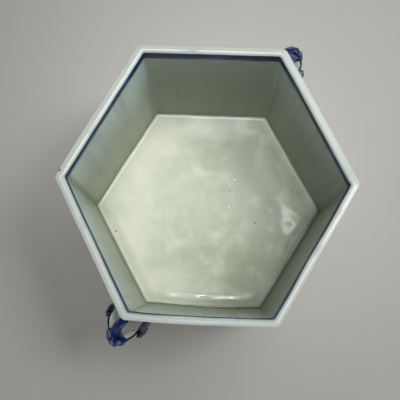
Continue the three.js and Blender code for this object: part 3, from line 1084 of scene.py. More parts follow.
@dataclass
class Basin:
    """The fired basin: six wall slabs, the floor slab, the seam coil and the rim strip.

    Attributes:
        plan: the burner's plan.
        glaze: its finish.
        pressed: the tree that makes its surface uneven.
        corner: outside rounding of the upright corners.
        inner_corner: their inside rounding.
        wall_inset: rim's outer edge to the wall's outer face.
        wall: wall thickness.
        rim_height: height of the rim strip.
        rim_width: its width.
        outer_fall: share of the way from the rim's arris to its outer edge, and the fall there.
        inner_fall: the same towards its inner edge.
        slab: thickness of the floor slab.
        ledge: height of the slab's ledge that the walls stand on.
        cove: the coil's reach up the wall and along the floor.
        groove: where the finger's groove beside the coil starts and ends on the floor, and its depth.
        groove_waver: how unevenly it is pressed, and over what distance.
        joint_step: where the rim strip's ends meet, how far one stands proud and the other lies further in,
            and over what distance both fade.
        joint_pool: glaze gathered in that joint.
        bite: how far a piece runs into the one that it is luted to.
    """

    plan: HexPlan
    glaze: bpy.types.Material
    pressed: ShapeTree
    corner: float = 6 * MM
    inner_corner: float = 3 * MM
    wall_inset: float = 0.7 * MM
    wall: float = 5.6 * MM
    rim_height: float = 6 * MM
    rim_width: float = 7 * MM
    outer_fall: tuple = ((1, 2.4), (1, 1.6), (0.985, 1.1), (0.93, 0.76), (0.84, 0.54), (0.72, 0.4),
                         (0.56, 0.28), (0.4, 0.18), (0.26, 0.1), (0.15, 0.05))
    inner_fall: tuple = ((0.2, 0.07), (0.4, 0.16), (0.58, 0.27), (0.74, 0.42), (0.86, 0.64), (0.93, 0.95),
                         (0.97, 1.4), (0.985, 2.0))
    slab: float = 7 * MM
    ledge: float = 4 * MM
    cove: float = 2.6 * MM
    groove: tuple = (2.4 * MM, 12.5 * MM, 0.9 * MM)
    groove_waver: tuple = (1.3, 14 * MM)
    joint_step: tuple = (0.5 * MM, 1.3 * MM, 8 * MM)
    joint_pool: float = 0.5
    bite: float = 0.15 * MM

    @property
    def inner_face(self) -> float:
        """Inset of the walls' inner face."""
        return self.wall_inset + self.wall

    @property
    def seat(self) -> float:
        """Height of the rim strip's underside."""
        return self.plan.height - self.rim_height

    def build(self) -> list[bpy.types.Object]:
        """Builds the basin's pieces.

        Returns:
            The pieces.
        """
        whole = self._skin("walls", self._wall_rows(), looped=True)
        pieces = [self._slab(whole, k, side) for k, side in enumerate(Side)]
        bpy.data.objects.remove(whole)
        for name, rows, looped, node in (("glazed_rim", self._rim_rows(), True, "rim_strip"),
                                         ("glazed_cove", self._coil_rows(), True, "seam_coil"),
                                         ("glazed_floor", self._floor_rows(), False, "floor_slab")):
            pieces.append(self._settle(self._skin(name, rows, looped), node))
        return pieces

    def _settle(self, obj: bpy.types.Object, node: str) -> bpy.types.Object:
        """Puts a piece of the basin in the frame."""
        return settle(obj, self.glaze, "celadon_glaze", node)

    def _skin(self, name: str, rows: Sequence[Row], looped: bool) -> bpy.types.Object:
        """Skins rows of the plan and presses the surface.

        Args:
            name: the piece's name.
            rows: its rows.
            looped: whether they close on themselves.

        Returns:
            The piece.
        """
        at_rim = name == "glazed_rim"
        rings = [self.plan.ring(r.z, r.inset, r.radius, self.plan.mouth if at_rim else None) for r in rows]
        if at_rim:
            self._rake(rings, rows)
            self._mitre_step(rings, rows)
        self._draw_in(rings, [r.inset / self.rim_width if at_rim else r.inside for r in rows])
        self._groove(rings, rows)
        marks = {mark: [getattr(row, mark.value) for row in rows]
                 for mark in (Mark.INSIDE, Mark.FLOOR, Mark.POOL, Mark.BARE, Mark.THIN)}
        made = loft(name, rings, looped, marks)
        self._touch(made, rings, name)
        return self.pressed.shape(made, Broad=0.9 * MM, Broad_Scale=16.0, Fine=0.25 * MM, Fine_Scale=75.0,
                                  Dent=1.3 * MM, Dent_Scale=32.0, Material=self.glaze)

    def _touch(self, made: bpy.types.Object, rings: list[list[Vector]], name: str) -> None:
        """Writes what differs from side to side: the painted line, each side's painted shade and the painted
        highlights along the edges.

        Args:
            made: the piece.
            rings: its rings.
            name: its name.
        """
        count, spare = len(rings), len(made.data.vertices) % len(rings[0])
        high = self.plan.height
        for mark, drops in ((Mark.LINE_TOP, self.plan.line_tops), (Mark.LINE_LOW, self.plan.line_lows)):
            write_mark(made, mark, [high - drop for drop in self.plan.around(drops)] * count + [0.0] * spare)
        # Painted shade of each side, darkest on the sides turned from the light.
        write_mark(made, Mark.DEEP, self.plan.around(self.plan.depths) * count + [0.0] * spare)
        if name == "glazed_rim":
            pooled = made.data.attributes[Mark.POOL.value].data
            for row in range(count):
                pooled[row * len(rings[0]) + self.joint - 1].value = self.joint_pool
        layer = made.data.attributes[Mark.THIN.value].data
        # Painted highlights, brighter on some sides than on others.
        shines = self.plan.edge_shine if name == "glazed_cove" else self.plan.rim_shine
        for i, shine in enumerate(self.plan.around(shines) * count):
            layer[i].value *= shine

    def _rake(self, rings: list[list[Vector]], rows: Sequence[Row]) -> None:
        """Moves the rim's rows so that its arris stands nearer one edge or the other, side by side.

        Args:
            rings: the rim's rings, made with the arris halfway over.
            rows: their rows.
        """
        outer = self.plan.ring(0, 0, self.corner, self.plan.mouth)
        inner = self.plan.ring(0, self.rim_width, self.inner_corner, self.plan.mouth)
        low = self.plan.height - self.outer_fall[0][1] * MM - TINY
        for ring, row in zip(rings, rows):
            share = row.inset / self.rim_width
            for i, crest in enumerate(self.plan.around(self.plan.crests) if row.z >= low else ()):
                raked = share * 2 * crest if share < 0.5 else crest + (share * 2 - 1) * (1 - crest)
                ring[i] = outer[i].lerp(inner[i], raked) + UP * row.z

    def _draw_in(self, rings: list[list[Vector]], shares: Sequence[float]) -> None:
        """Moves the inside of each wall in or out by its slips.

        Args:
            rings: the rings.
            shares: how far each ring goes with the inside, from 0 to 1.
        """
        tops, feet = self.plan.around(self.plan.inner_top), self.plan.around(self.plan.inner_foot)
        for ring, share in zip(rings, shares):
            for i, (top, foot) in enumerate(zip(tops, feet)):
                down = (self.plan.height - ring[i].z) / self.plan.depth
                scale = 1 - share * (top + (foot - top) * down) / self.plan.foot[1]
                ring[i] = Vector((ring[i].x * scale, ring[i].y * scale, ring[i].z))

    def _groove(self, rings: list[list[Vector]], rows: Sequence[Row]) -> None:
        """Presses the finger's groove in, deeper here and there.

        Args:
            rings: the rings.
            rows: their rows.
        """
        depths = self.plan.around(self.plan.grooves)
        waver, reach = self.groove_waver
        for ring, row in zip(rings, rows):
            for i, depth in enumerate(depths if row.sunk else ()):
                pressed = 1 + waver * noise.noise(ring[i] / reach)
                ring[i] = ring[i] - UP * row.sunk * depth * max(0.0, pressed)

    @property
    def joint(self) -> int:
        """The column at the left corner where the two ends of the rim strip meet."""
        return 3 * self.plan.columns + self.plan.arc_steps // 2

    def _mitre_step(self, rings: list[list[Vector]], rows: Sequence[Row]) -> None:
        """Sets one end of the rim strip proud of the other, and the other further in, where they meet.

        Args:
            rings: the rim's rings.
            rows: their rows.
        """
        proud, back, fade = self.joint_step
        inward = -heading(self.plan.angles(self.plan.mouth)[2])
        for ring, row in zip(rings, rows):
            start = ring[self.joint].copy()
            for i in range(self.joint - self.plan.columns // 2, self.joint + self.plan.columns // 2):
                near = math.exp(-(ring[i] - start).length / fade)
                outer = 1 - min(1.0, row.inset / self.rim_width)
                ring[i] = ring[i] + (UP * proud if i >= self.joint else inward * back * outer) * near

    def _wall_rows(self) -> list[Row]:
        """Rows of the walls: up the outside, over the hidden top and down the inside.

        Returns:
            The rows.
        """
        low = self.plan.floor - self.slab + self.ledge
        high = self.seat + self.bite
        outer = self.corner - self.wall_inset
        steps = 22
        eased = [Row(low, self.wall_inset + 0.5 * MM, outer),
                 Row(low + 0.25 * MM, self.wall_inset + 0.1 * MM, outer)]
        rise = [Row(low + 0.6 * MM + (high - low - 0.6 * MM) * i / steps, self.wall_inset, outer)
                for i in range(steps + 1)]
        middle = Row(high, self.wall_inset + self.wall / 2, self.inner_corner, 0.5)
        fall = []
        for i in range(steps + 1):
            z = high + (low - high) * i / steps
            # Darker towards the wall's foot: gathered glaze and painted shade.
            gathered = 0.1 * smoothstep(z, self.plan.floor + 14 * MM, self.plan.floor + 3 * MM)
            fall.append(Row(z, self.inner_face, self.inner_corner, 1, 0, gathered))
        return [*eased, *rise, middle, *fall]

    def _rim_rows(self) -> list[Row]:
        """Rows of the rim strip: a band that slopes out and a bevel that slopes in, either side of an arris.

        Returns:
            The rows.
        """
        height, width = self.plan.height, self.rim_width
        half = width / 2

        def radius(inset: float) -> float:
            """The corner's rounding at an inset."""
            return self.corner - inset * (self.corner - self.inner_corner) / width

        rows = [Row(self.seat, self.wall_inset + 0.6 * MM, self.corner - self.wall_inset),
                Row(self.seat + 0.3 * MM, self.wall_inset, self.corner - self.wall_inset)]
        for share, fall in self.outer_fall:
            inset = half * (1 - share)
            rows.append(Row(height - fall * MM, inset, radius(inset)))
        # The arris: glaze run thin and a painted highlight.
        for share, fall, thin in ((-0.11, 0.03, 0.7), (-0.05, 0.01, 1), (0.05, 0.015, 1), (0.13, 0.045, 0.7)):
            inset = half * (1 + share)
            rows.append(Row(height - fall * MM, inset, radius(inset), 0.2, thin=thin))
        for share, fall in self.inner_fall:
            inset = half * (1 + share)
            # Painted highlight on the bevel's upper part.
            thin = 0.55 * (1 - smoothstep(share, 0.1, 0.85))
            rows.append(Row(height - fall * MM, inset, radius(inset), 0.3 + 0.7 * share, thin=thin))
        for drop, inset in ((3 * MM, width + 0.25 * MM), (4.4 * MM, width + 0.45 * MM),
                            (5.5 * MM, width + 0.4 * MM), (6 * MM, self.inner_face - 0.2 * MM)):
            rows.append(Row(height - drop, inset, self.inner_corner, 1))
        return rows

    def _coil_rows(self) -> list[Row]:
        """Rows of the seam coil: a tight cove, dark with gathered glaze and painted shade, with a pale lip on
        the floor that is a painted highlight.

        Returns:
            The rows.
        """
        steps = 14
        start, foot = self.inner_face - self.bite, self.plan.floor - self.bite
        rows = []
        for i in range(steps + 1):
            a = math.pi / 2 * i / steps
            out = 1 - math.cos(a)
            # Darkest in the cove's middle: gathered glaze and painted shade.
            pooled = 0.75 * math.exp(-((out - 0.4) / 0.3) ** 2)
            rows.append(Row(foot + self.cove * (1 - math.sin(a)), start + self.cove * out,
                            self.inner_corner + 2 * MM * out, 1, smoothstep(out, 0.55, 0.95), pooled))
        lip, rounded = start + self.cove, self.inner_corner + 2 * MM
        # The lip: glaze run thin and a painted highlight.
        for rise, reach, thin in ((0.28, 0.35, 0.7), (0.42, 0.8, 1), (0.32, 1.3, 0.8), (0.1, 1.9, 0)):
            rows.append(Row(foot + rise * MM, lip + reach * MM, rounded, 1, 1, thin=thin))
        buried = 0.8 * MM
        rows.append(Row(foot - buried, lip + 2 * MM, rounded, 1, 1))
        rows.append(Row(foot - buried, start - buried, self.inner_corner, 1))
        rows.append(Row(foot + self.cove, start - buried, self.inner_corner, 1))
        return rows

    def _floor_rows(self) -> list[Row]:
        """Rows of the floor slab: underside, ledge and the dented floor.

        Returns:
            The rows.
        """
        bottom = self.plan.floor - self.slab
        ledge = bottom + self.ledge
        outer = self.corner - self.wall_inset
        reach = self.plan.foot[1]
        rows = [Row(bottom, reach * share, outer, bare=1) for share in (0.97, 0.8, 0.6, 0.42, 0.28, 0.16, 0.07)]
        rows += [Row(bottom, self.wall_inset + 1.6 * MM, outer, bare=1),
                 Row(bottom + 0.25 * MM, self.wall_inset + 0.35 * MM, outer, bare=0.3),
                 Row(bottom + 0.9 * MM, self.wall_inset, outer),
                 Row(ledge - 0.5 * MM, self.wall_inset, outer),
                 Row(ledge - 0.1 * MM, self.wall_inset + 0.3 * MM, outer),
                 Row(ledge, self.inner_face, self.inner_corner)]
        first = self.inner_face + 0.3 * MM
        start, end, deep = self.groove
        steps = 60
        for i in range(steps):
            inset = first + (reach - first) * (i / steps) ** 1.25
            edge = smoothstep(inset, first + 14 * MM, first + self.cove)
            radius = min(self.inner_corner + 3 * MM, (reach - inset) / 2)
            share = min(1.0, max(0.0, (inset - first - start) / (end - start)))
            sunk = deep * (0.5 - 0.5 * math.cos(math.tau * share))
            # Slightly darker at the floor's edge: gathered glaze and painted shade.
            rows.append(Row(self.plan.floor, inset, radius, 1, 1, 0.12 * edge, sunk=sunk))
        return rows

    def _slab(self, whole: bpy.types.Object, k: int, side: Side) -> bpy.types.Object:
        """Cuts one wall slab out of the whole ring of walls, at the mitres of its two corners.

        Args:
            whole: the ring of walls.
            k: the slab's number.
            side: the side that it stands on.

        Returns:
            The slab, shaded as one skin with its neighbours.
        """
        around = len(Side) * self.plan.columns
        rows = len(whole.data.vertices) // around
        first = k * self.plan.columns + self.plan.arc_steps // 2
        picked = [(first + i) % around for i in range(self.plan.columns + 1)]
        source = whole.data
        keep = [row * around + column for row in range(rows) for column in picked]
        width = len(picked)
        mesh = bmesh.new()
        verts = [mesh.verts.new(source.vertices[i].co) for i in keep]
        for row in range(rows):
            low, high = row * width, ((row + 1) % rows) * width
            for i in range(width - 1):
                mesh.faces.new((verts[low + i], verts[low + i + 1], verts[high + i + 1], verts[high + i]))
        for end in (0, width - 1):
            mesh.faces.new([verts[row * width + end] for row in range(rows)])
        made = from_bmesh("glazed_" + side.value, mesh)
        made.data.normals_split_custom_set_from_vertices([source.vertices[i].normal for i in keep])
        for mark in (Mark.INSIDE, Mark.FLOOR, Mark.BARE, Mark.DEEP, Mark.LINE_TOP, Mark.LINE_LOW):
            values = source.attributes[mark.value].data
            write_mark(made, mark, [values[i].value for i in keep])
        angle = self.plan.angles(self.plan.mouth)[k]
        tangent = heading(angle + math.pi / 2)
        along = [source.vertices[i].co.dot(tangent) for i in keep]
        half = (max(along) - min(along)) / 2
        middle = (max(along) + min(along)) / 2
        write_mark(made, Mark.ALONG, [value - middle for value in along])
        write_mark(made, Mark.HALF, [half] * len(along))
        foot_pool_and_shade = source.attributes[Mark.POOL.value].data
        pools = []
        for i, value in zip(keep, along):
            inner = source.attributes[Mark.INSIDE.value].data[i].value
            # Each inner corner painted darker: gathered glaze and painted shade.
            gathered = self.plan.pools[(k + (value > middle)) % len(Side)]
            near = smoothstep(half - abs(value - middle), (3 + 8 * gathered) * MM, 1.5 * MM)
            pools.append(max(foot_pool_and_shade[i].value, gathered * inner * near))
        write_mark(made, Mark.POOL, pools)
        return self._settle(made, side.value)


@dataclass
class BracketFeet:
    """Six bracket feet, one folded round each corner, cut away between them in an ogee arch.

    Attributes:
        plan: the burner's plan.
        glaze: their finish.
        top: height at which they meet the floor slab.
        thickness: their wall.
        toe: reach from the corner at the table.
        waist: and where the two curves of the ogee meet.
        wing: and at the top.
        profile: height and inset of the outer face.
        corner: rounding of the fold outside.
        inner_corner: and inside.
        grain: size of the remeshing voxels.
    """

    plan: HexPlan
    glaze: bpy.types.Material
    top: float = 14.5 * MM
    thickness: float = 9 * MM
    toe: float = 15 * MM
    waist: float = 22 * MM
    wing: float = 30 * MM
    profile: tuple = ((0, 0), (2.5 * MM, 0.5 * MM), (7 * MM, 2.3 * MM), (14.5 * MM, 1.5 * MM))
    corner: float = 5 * MM
    inner_corner: float = 3 * MM
    grain: float = 0.5 * MM

    def build(self) -> list[bpy.types.Object]:
        """Builds the feet."""
        return [self._foot(k) for k in range(len(Side))]

    def _arch(self) -> list[tuple[float, float]]:
        """The end of a foot from the table up: two curves that meet in an ogee.

        Returns:
            Each point's height and its reach from the corner.
        """
        knee, shoulder = 2 * MM, 8.5 * MM
        curves = (((knee, self.toe), (8 * MM, self.toe), (5.5 * MM, self.toe + 5 * MM), (shoulder, self.waist)),
                  ((shoulder, self.waist), (12 * MM, self.waist + 2 * MM), (10.5 * MM, self.wing - 2 * MM),
                   (self.top + 0.7 * MM, self.wing)))
        ends = [(0.0, self.toe), (1 * MM, self.toe)]
        steps = 9
        for curve in curves:
            for i in range(steps):
                t = i / steps
                weights = ((1 - t) ** 3, 3 * t * (1 - t) ** 2, 3 * t * t * (1 - t), t ** 3)
                ends.append(tuple(sum(w * point[axis] for w, point in zip(weights, curve)) for axis in (0, 1)))
        return [end for end in ends if end[0] < self.top] + [(self.top, self.wing)]

    def _face(self, z: float) -> float:
        """Inset of the outer face at a height.

        Args:
            z: the height.

        Returns:
            The inset.
        """
        for (low, start), (high, end) in zip(self.profile, self.profile[1:]):
            if z <= high:
                return start + (end - start) * smoothstep(z, low, high)
        return self.profile[-1][1]

    def _path(self, k: int, inset: float, radius: float, reach: float, z: float) -> list[Vector]:
        """One face of a foot in plan: along one side, round the corner and along the next.

        Args:
            k: the corner's number.
            inset: how far the face stands in.
            radius: the rounding of its fold.
            reach: how far it runs along each side.
            z: its height.

        Returns:
            Its points.
        """
        size = self.plan.size_at(self.top)
        angles = self.plan.angles(size)
        before, after = angles[k - 1] - (math.tau if k == 0 else 0), angles[k]
        slip = Vector((*self.plan.shifts[k], 0))
        corner = self.plan.corners(size, 0)[k] + slip
        centre = self.plan.corners(size, inset + radius)[k] + slip
        bends, legs = 10, 8
        arc = [centre + heading(before + (after - before) * i / bends) * radius for i in range(bends + 1)]
        start = corner - heading(before + math.pi / 2) * reach - heading(before) * inset
        end = corner + heading(after + math.pi / 2) * reach - heading(after) * inset
        points = [start.lerp(arc[0], i / legs) for i in range(legs)] + arc
        points += [arc[-1].lerp(end, (i + 1) / legs) for i in range(legs)]
        return [point + UP * z for point in points]

    def _foot(self, k: int) -> bpy.types.Object:
        """Builds the foot at one corner.

        Args:
            k: the corner's number.

        Returns:
            The foot.
        """
        mesh = bmesh.new()
        rows = []
        for z, reach in self._arch():
            outer = self._path(k, self._face(z), self.corner, reach, z)
            inner = self._path(k, self.profile[-1][1] + self.thickness, self.inner_corner, reach, z)
            rows.append([mesh.verts.new(p) for p in outer + inner[::-1]])
        bridge(mesh, rows)
        for row in (rows[0], rows[-1]):
            for i in range(len(row) // 2 - 1):
                mesh.faces.new((row[i], row[i + 1], row[-2 - i], row[-1 - i]))
        blank = from_bmesh("blank", mesh)
        foot = fused(f"glazed_foot_{k + 1}", [blank], self.grain, 6)
        self._mark(foot, k)
        return settle(foot, self.glaze, "celadon_glaze", f"bracket_foot_{k + 1}")

    def _mark(self, foot: bpy.types.Object, k: int) -> None:
        """Levels a foot's sole and marks the bare sole and the distance to the arch's edge.

        Args:
            foot: the foot.
            k: its corner's number.
        """
        size = self.plan.size_at(self.top)
        angles = self.plan.angles(size)
        corner = self.plan.corners(size, 0)[k]
        ends = self._arch()
        bare, trim = [], []
        for vertex in foot.data.vertices:
            vertex.co.z = max(0.0, vertex.co.z)
            z = vertex.co.z
            away = vertex.co - corner
            before, after = angles[k - 1], angles[k]
            leg = max(-away.dot(heading(before + math.pi / 2)), away.dot(heading(after + math.pi / 2)))
            reach = max(reach for height, reach in ends if height <= z + TINY)
            faces = max(away.dot(heading(before)), away.dot(heading(after)))
            outside = smoothstep(faces, -6 * MM, -4 * MM)
            trim.append(max(0.0, reach - leg) * outside)
            bare.append(1 - smoothstep(z, 0.2 * MM, 0.8 * MM))
        write_mark(foot, Mark.TRIM, trim)
        write_mark(foot, Mark.BARE, bare)


@dataclass
class BeastHandle:
    """A beast-head handle: the mask, a strap over its brow, a ribbon at each cheek and an ear on each ribbon.

    It is built in its own frame: x out from the corner, y to the left, z up from the rim's crest.

    Attributes:
        plan: the burner's plan.
        corner: the corner that carries it.
        cobalt: its finish.
        ridges: the tree that rolls ridges.
        curls: the tree that sets curls.
        back: from the corner to the flat back of the mask.
        snout_spread: radians off straight ahead in which the snout dies away.
        face: rows down the mask: height, reach of the cheeks, half width, and how far the snout stands proud.
        strap: the strap's width, its width at the head and its thickness.
        ribbon_at: the ribbons' distance from the middle.
        ribbon: their thickness and height.
        ribbon_lean: how far their feet stand in at the head.
        ribbon_swell: how much thicker they grow there, below their top edge, towards the strap.
        ear: the ears' thickness, middle on x and z, and radius.
        wall: how far back the ears run.
        sunk: how deep the curls are pressed in.
        slips: how far to its left each handle was luted on.
    """

    plan: HexPlan
    corner: HandleCorner
    cobalt: bpy.types.Material
    ridges: ShapeTree
    curls: ShapeTree
    back: float = 12.8
    snout_spread: float = 0.6
    face: tuple = (
        (-24.2, 1.8, 3.4, 0), (-25.4, 6, 6.6, 0), (-27.6, 9.4, 8.7, 0.3), (-30, 10.2, 9.3, 0.9),
        (-32, 9, 9.3, 1.9), (-34, 8.7, 9.2, 3.9), (-36.6, 8.5, 8.8, 4.2), (-38.8, 8.2, 8.2, 3.6),
        (-40.6, 6.4, 7.6, 1.6), (-42.6, 6.6, 6.8, 2.4), (-45.4, 4.8, 5.2, 1), (-46.8, 2, 3, 0))
    strap: tuple = (8, 8.6, 3.6)
    ribbon_at: float = 13.1
    ribbon: tuple = (2.3, 17.5)
    ribbon_lean: float = 6
    ribbon_swell: float = 2.2
    ear: tuple = (3.6, 0.3, -28.7, 7.2)
    wall: float = -13
    sunk: float = 0.3
    slips: tuple = ((HandleCorner.BACK, -1.6), (HandleCorner.FRONT, 0.3))

    @property
    def name(self) -> str:
        """What its CAD nodes' names start with."""
        return self.corner.name.lower() + "_handle_"

    def place(self) -> Matrix:
        """Turns the handle's own frame, in millimetres, into the burner's, in metres.

        Returns:
            The turn.
        """
        angles = self.plan.angles(self.plan.mouth)
        k = self.corner.value
        outward = heading(angles[k - 1]) + heading(angles[k])
        at = self.plan.corners(self.plan.mouth, 0)[k] + UP * self.plan.height
        turn = Matrix.Rotation(math.atan2(outward.y, outward.x), 4, "Z")
        aside = Matrix.Translation(ACROSS * dict(self.slips)[self.corner])
        return Matrix.Translation(at) @ turn @ Matrix.Scale(MM, 4) @ aside

    def build(self) -> list[bpy.types.Object]:
        """Builds the handle's six pieces.

        Returns:
            The pieces.
        """
        pieces = [self._head(), self._strap()]
        for word, side in (("left", 1), ("right", -1)):
            pieces += [self._ribbon(word, side), self._ear(word, side)]
        return pieces

    def _finish(self, name: str, parts: list[bpy.types.Object], raised: list[bpy.types.Object], grain: float,
                wash: Callable[[Vector], float], white: Callable[[Vector], float]) -> bpy.types.Object:
        """Fuses a piece, marks its raised lines and its bare places, and puts it in the frame.

        Args:
            name: the piece's name after the handle's.
            parts: its plain parts.
            raised: its ridges and curls.
            grain: size of the remeshing voxels, in millimetres.
            wash: how thin the cobalt is at a point of the handle's frame.
            white: how bare the glaze is there.

        Returns:
            The piece.
        """
        count = sum(len(part.data.vertices) for part in raised)
        tree = kdtree.KDTree(max(1, count))
        for i, vertex in enumerate(v for part in raised for v in part.data.vertices):
            tree.insert(vertex.co, i)
        tree.balance()
        made = fused(self.name + name + "_glazed", [*parts, *raised], grain, 2)
        ridge = [0.0] * len(made.data.vertices)
        if count:
            ridge = [1 - smoothstep(tree.find(v.co)[2], 0.1, 0.5) for v in made.data.vertices]
        write_mark(made, Mark.RIDGE, ridge)
        for mark, paint in ((Mark.WHITE, white), (Mark.WASH, wash)):
            write_mark(made, mark, [paint(vertex.co) for vertex in made.data.vertices])
        made.data.transform(self.place())
        return settle(made, self.cobalt, "cobalt_glaze", self.name + name)

    def _rolled(self, lines: Sequence[Sequence[Vector]], radius: float,
                taper: float = 0.5) -> bpy.types.Object:
        """Rolls smooth ridges along lines.

        Args:
            lines: the points that each ridge runs through.
            radius: their radius in the middle.
            taper: the share of it that their ends lack.

        Returns:
            The ridges.
        """
        steps = 20
        drawn = line_object("ridge", [[catmull(line, i / steps) for i in range(steps + 1)] for line in lines])
        return self.ridges.shape(drawn, Radius=radius, Taper=taper, Material=self.cobalt)

    def _curled(self, spots: Sequence[tuple[Vector, Vector, float]], radius: float, turns: float,
                ridge: float, reverse: bool) -> bpy.types.Object:
        """Sets spiral curls on spots.

        Args:
            spots: each curl's place, the way it faces and its size.
            radius: its radius at size 1.
            turns: its turns.
            ridge: the radius of its clay.
            reverse: whether it winds the other way.

        Returns:
            The curls.
        """
        data = bpy.data.meshes.new("curls")
        data.from_pydata([at - out * self.sunk for at, out, _ in spots], [], [])
        facing = data.attributes.new("facing", "FLOAT_VECTOR", "POINT")
        facing.data.foreach_set("vector", [value for _, out, _ in spots for value in out])
        data.attributes.new("size", "FLOAT", "POINT").data.foreach_set("value", [size for _, _, size in spots])
        return self.curls.shape(link("curls", data), Radius=radius, Turns=turns, Ridge=ridge, Reverse=reverse,
                                Material=self.cobalt)

    def _face_point(self, down: float, around: float) -> Vector:
        """A point on the mask's front.

        Args:
            down: 0 at the crown and 1 at the chin.
            around: 0 straight ahead and 90 degrees at the left cheek.

        Returns:
            The point.
        """
        reach, wide, snout = (catmull([Vector((row[0], row[i], 0)) for row in self.face], down)
                              for i in (1, 2, 3))
        proud = snout.y * math.exp(-((around / self.snout_spread) ** 2))
        return Vector((self.back + reach.y * max(0.0, math.cos(around)) ** 0.75 + proud,
                       wide.y * math.sin(around), reach.x))

    def _face_spot(self, down: float, around: float, size: float) -> tuple[Vector, Vector, float]:
        """A place on the mask with the way that it faces.

        Args:
            down: 0 at the crown and 1 at the chin.
            around: 0 straight ahead and 90 degrees at the left cheek.
            size: what stands there, as a share of full size.

        Returns:
            The place, the way it faces and the size.
        """
        at = self._face_point(down, around)
        near = 0.01
        falling = self._face_point(down + near, around) - at
        aside = self._face_point(down, around + near) - at
        out = aside.cross(falling).normalized()
        return at, out if out.x > 0 else -out, size

    def _head(self) -> bpy.types.Object:
        """Builds the mask, with its brows, eyes, nostrils, lips, cheeks and mane curls.

        Returns:
            The mask.
        """
        rows, front = 44, 40
        mask = loft("mask", [[self._face_point(i / rows, math.pi * (j / front - 0.5)) for j in range(front + 1)]
                             for i in range(rows + 1)])
        balls, lines = [], []
        for side in (1, -1):
            balls += [(1.3, Vector((24.6, side * 2, -35.2))), (1.9, Vector((21, side * 5, -32.8)))]
            lines += [[Vector((23.4, side * 1.2, -32.4)), Vector((23, side * 3, -30)),
                       Vector((21, side * 6.2, -29.4)), Vector((17.4, side * 9, -31.2))],
                      [self._face_point(0.66, side * a) for a in (0.15, 0.5, 0.9, 1.2)],
                      [self._face_point(0.74 - 0.06 * a, side * a) for a in (0.0, 0.4, 0.8, 1.15)],
                      [self._face_point(0.48 + 0.06 * a, side * (0.75 + 0.3 * a)) for a in (0, 1, 2)]]
        parts = [mask] + [self._ball(radius, at) for radius, at in balls]
        raised = [self._rolled(lines, 0.8)]
        for side in (1, -1):
            spots = [self._face_spot(0.14, side * 0.75, 1), self._face_spot(0.3, side * 1.25, 0.8),
                     self._face_spot(0.52, side * 1.3, 0.8), self._face_spot(0.72, side * 1.2, 0.75),
                     self._face_spot(0.88, side * 0.7, 0.7)]
            raised.append(self._curled(spots, 2.2, 1.5, 0.42, side < 0))
        middle = [self._face_spot(0.2, 0, 1), self._face_spot(0.95, 0, 0.7)]
        raised.append(self._curled(middle, 1.9, 1.5, 0.4, False))
        eyes = [at for radius, at in balls if radius > 1.5]

        def white(at: Vector) -> float:
            """The eyeballs' white, round a dark pupil.

            Args:
                at: a point of the handle's frame.

            Returns:
                How bare the glaze is.
            """
            for eye in eyes:
                away = at - eye
                if away.length < 2.3 and away.x > 0:
                    return smoothstep(math.hypot(away.y, away.z), 0.6, 0.9)
            return 0.0

        return self._finish("head", parts, raised, 0.28, lambda at: 0.3 * smoothstep(at.z, -34, -27), white)

    def _ball(self, radius: float, at: Vector, stretch: Vector = Vector((1, 1, 1))) -> bpy.types.Object:
        """A ball of clay, pressed longer or flatter along each axis.

        Args:
            radius: its radius.
            at: its middle.
            stretch: its stretch along each axis.

        Returns:
            The ball.
        """
        mesh = bmesh.new()
        pressed = Matrix.Translation(at) @ Matrix.Diagonal((*stretch, 1))
        bmesh.ops.create_icosphere(mesh, subdivisions=3, radius=radius, matrix=pressed)
        return from_bmesh("ball", mesh)

    def _along(self, path: Sequence[Vector], t: float) -> Vector:
        """The way a curve through some points runs at a share of its length."""
        near = 0.01
        return catmull(path, min(1, t + near)) - catmull(path, max(0, t - near))

    def _strap(self) -> bpy.types.Object:
        """Builds the strap from under the rim to the crown of the head.

        Returns:
            The strap.
        """
        path = [Vector((-5, 0, -14)), Vector((0.5, -0.4, -15.2)), Vector((7, -1.9, -19.6)),
                Vector((15.5, -2.4, -27.5))]
        width, neck, thickness = self.strap
        steps, around, flat = 24, 28, 0.7
        angles = [math.tau * j / around for j in range(around)]
        sides = [math.copysign(abs(math.cos(a)) ** flat, math.cos(a)) for a in angles]
        rings = []
        for i in range(steps + 1):
            t = i / steps
            up = self._along(path, t).normalized().cross(ACROSS)
            half = (width + (neck - width) * t * t) / 2
            rings.append([catmull(path, t) + ACROSS * half * side + up * thickness / 2 * math.sin(a)
                          for side, a in zip(sides, angles)])

        def wash(at: Vector) -> float:
            """Thin cobalt down the middle of the strap, thick along its edges."""
            middle = catmull(path, smoothstep(at.x, -5, 15.5)).y
            return 0.85 - 1.1 * smoothstep(abs(at.y - middle), 2.4, 4.2)

        return self._finish("brow_strap", [loft("strap", rings)], [], 0.35, wash, lambda at: 0.0)

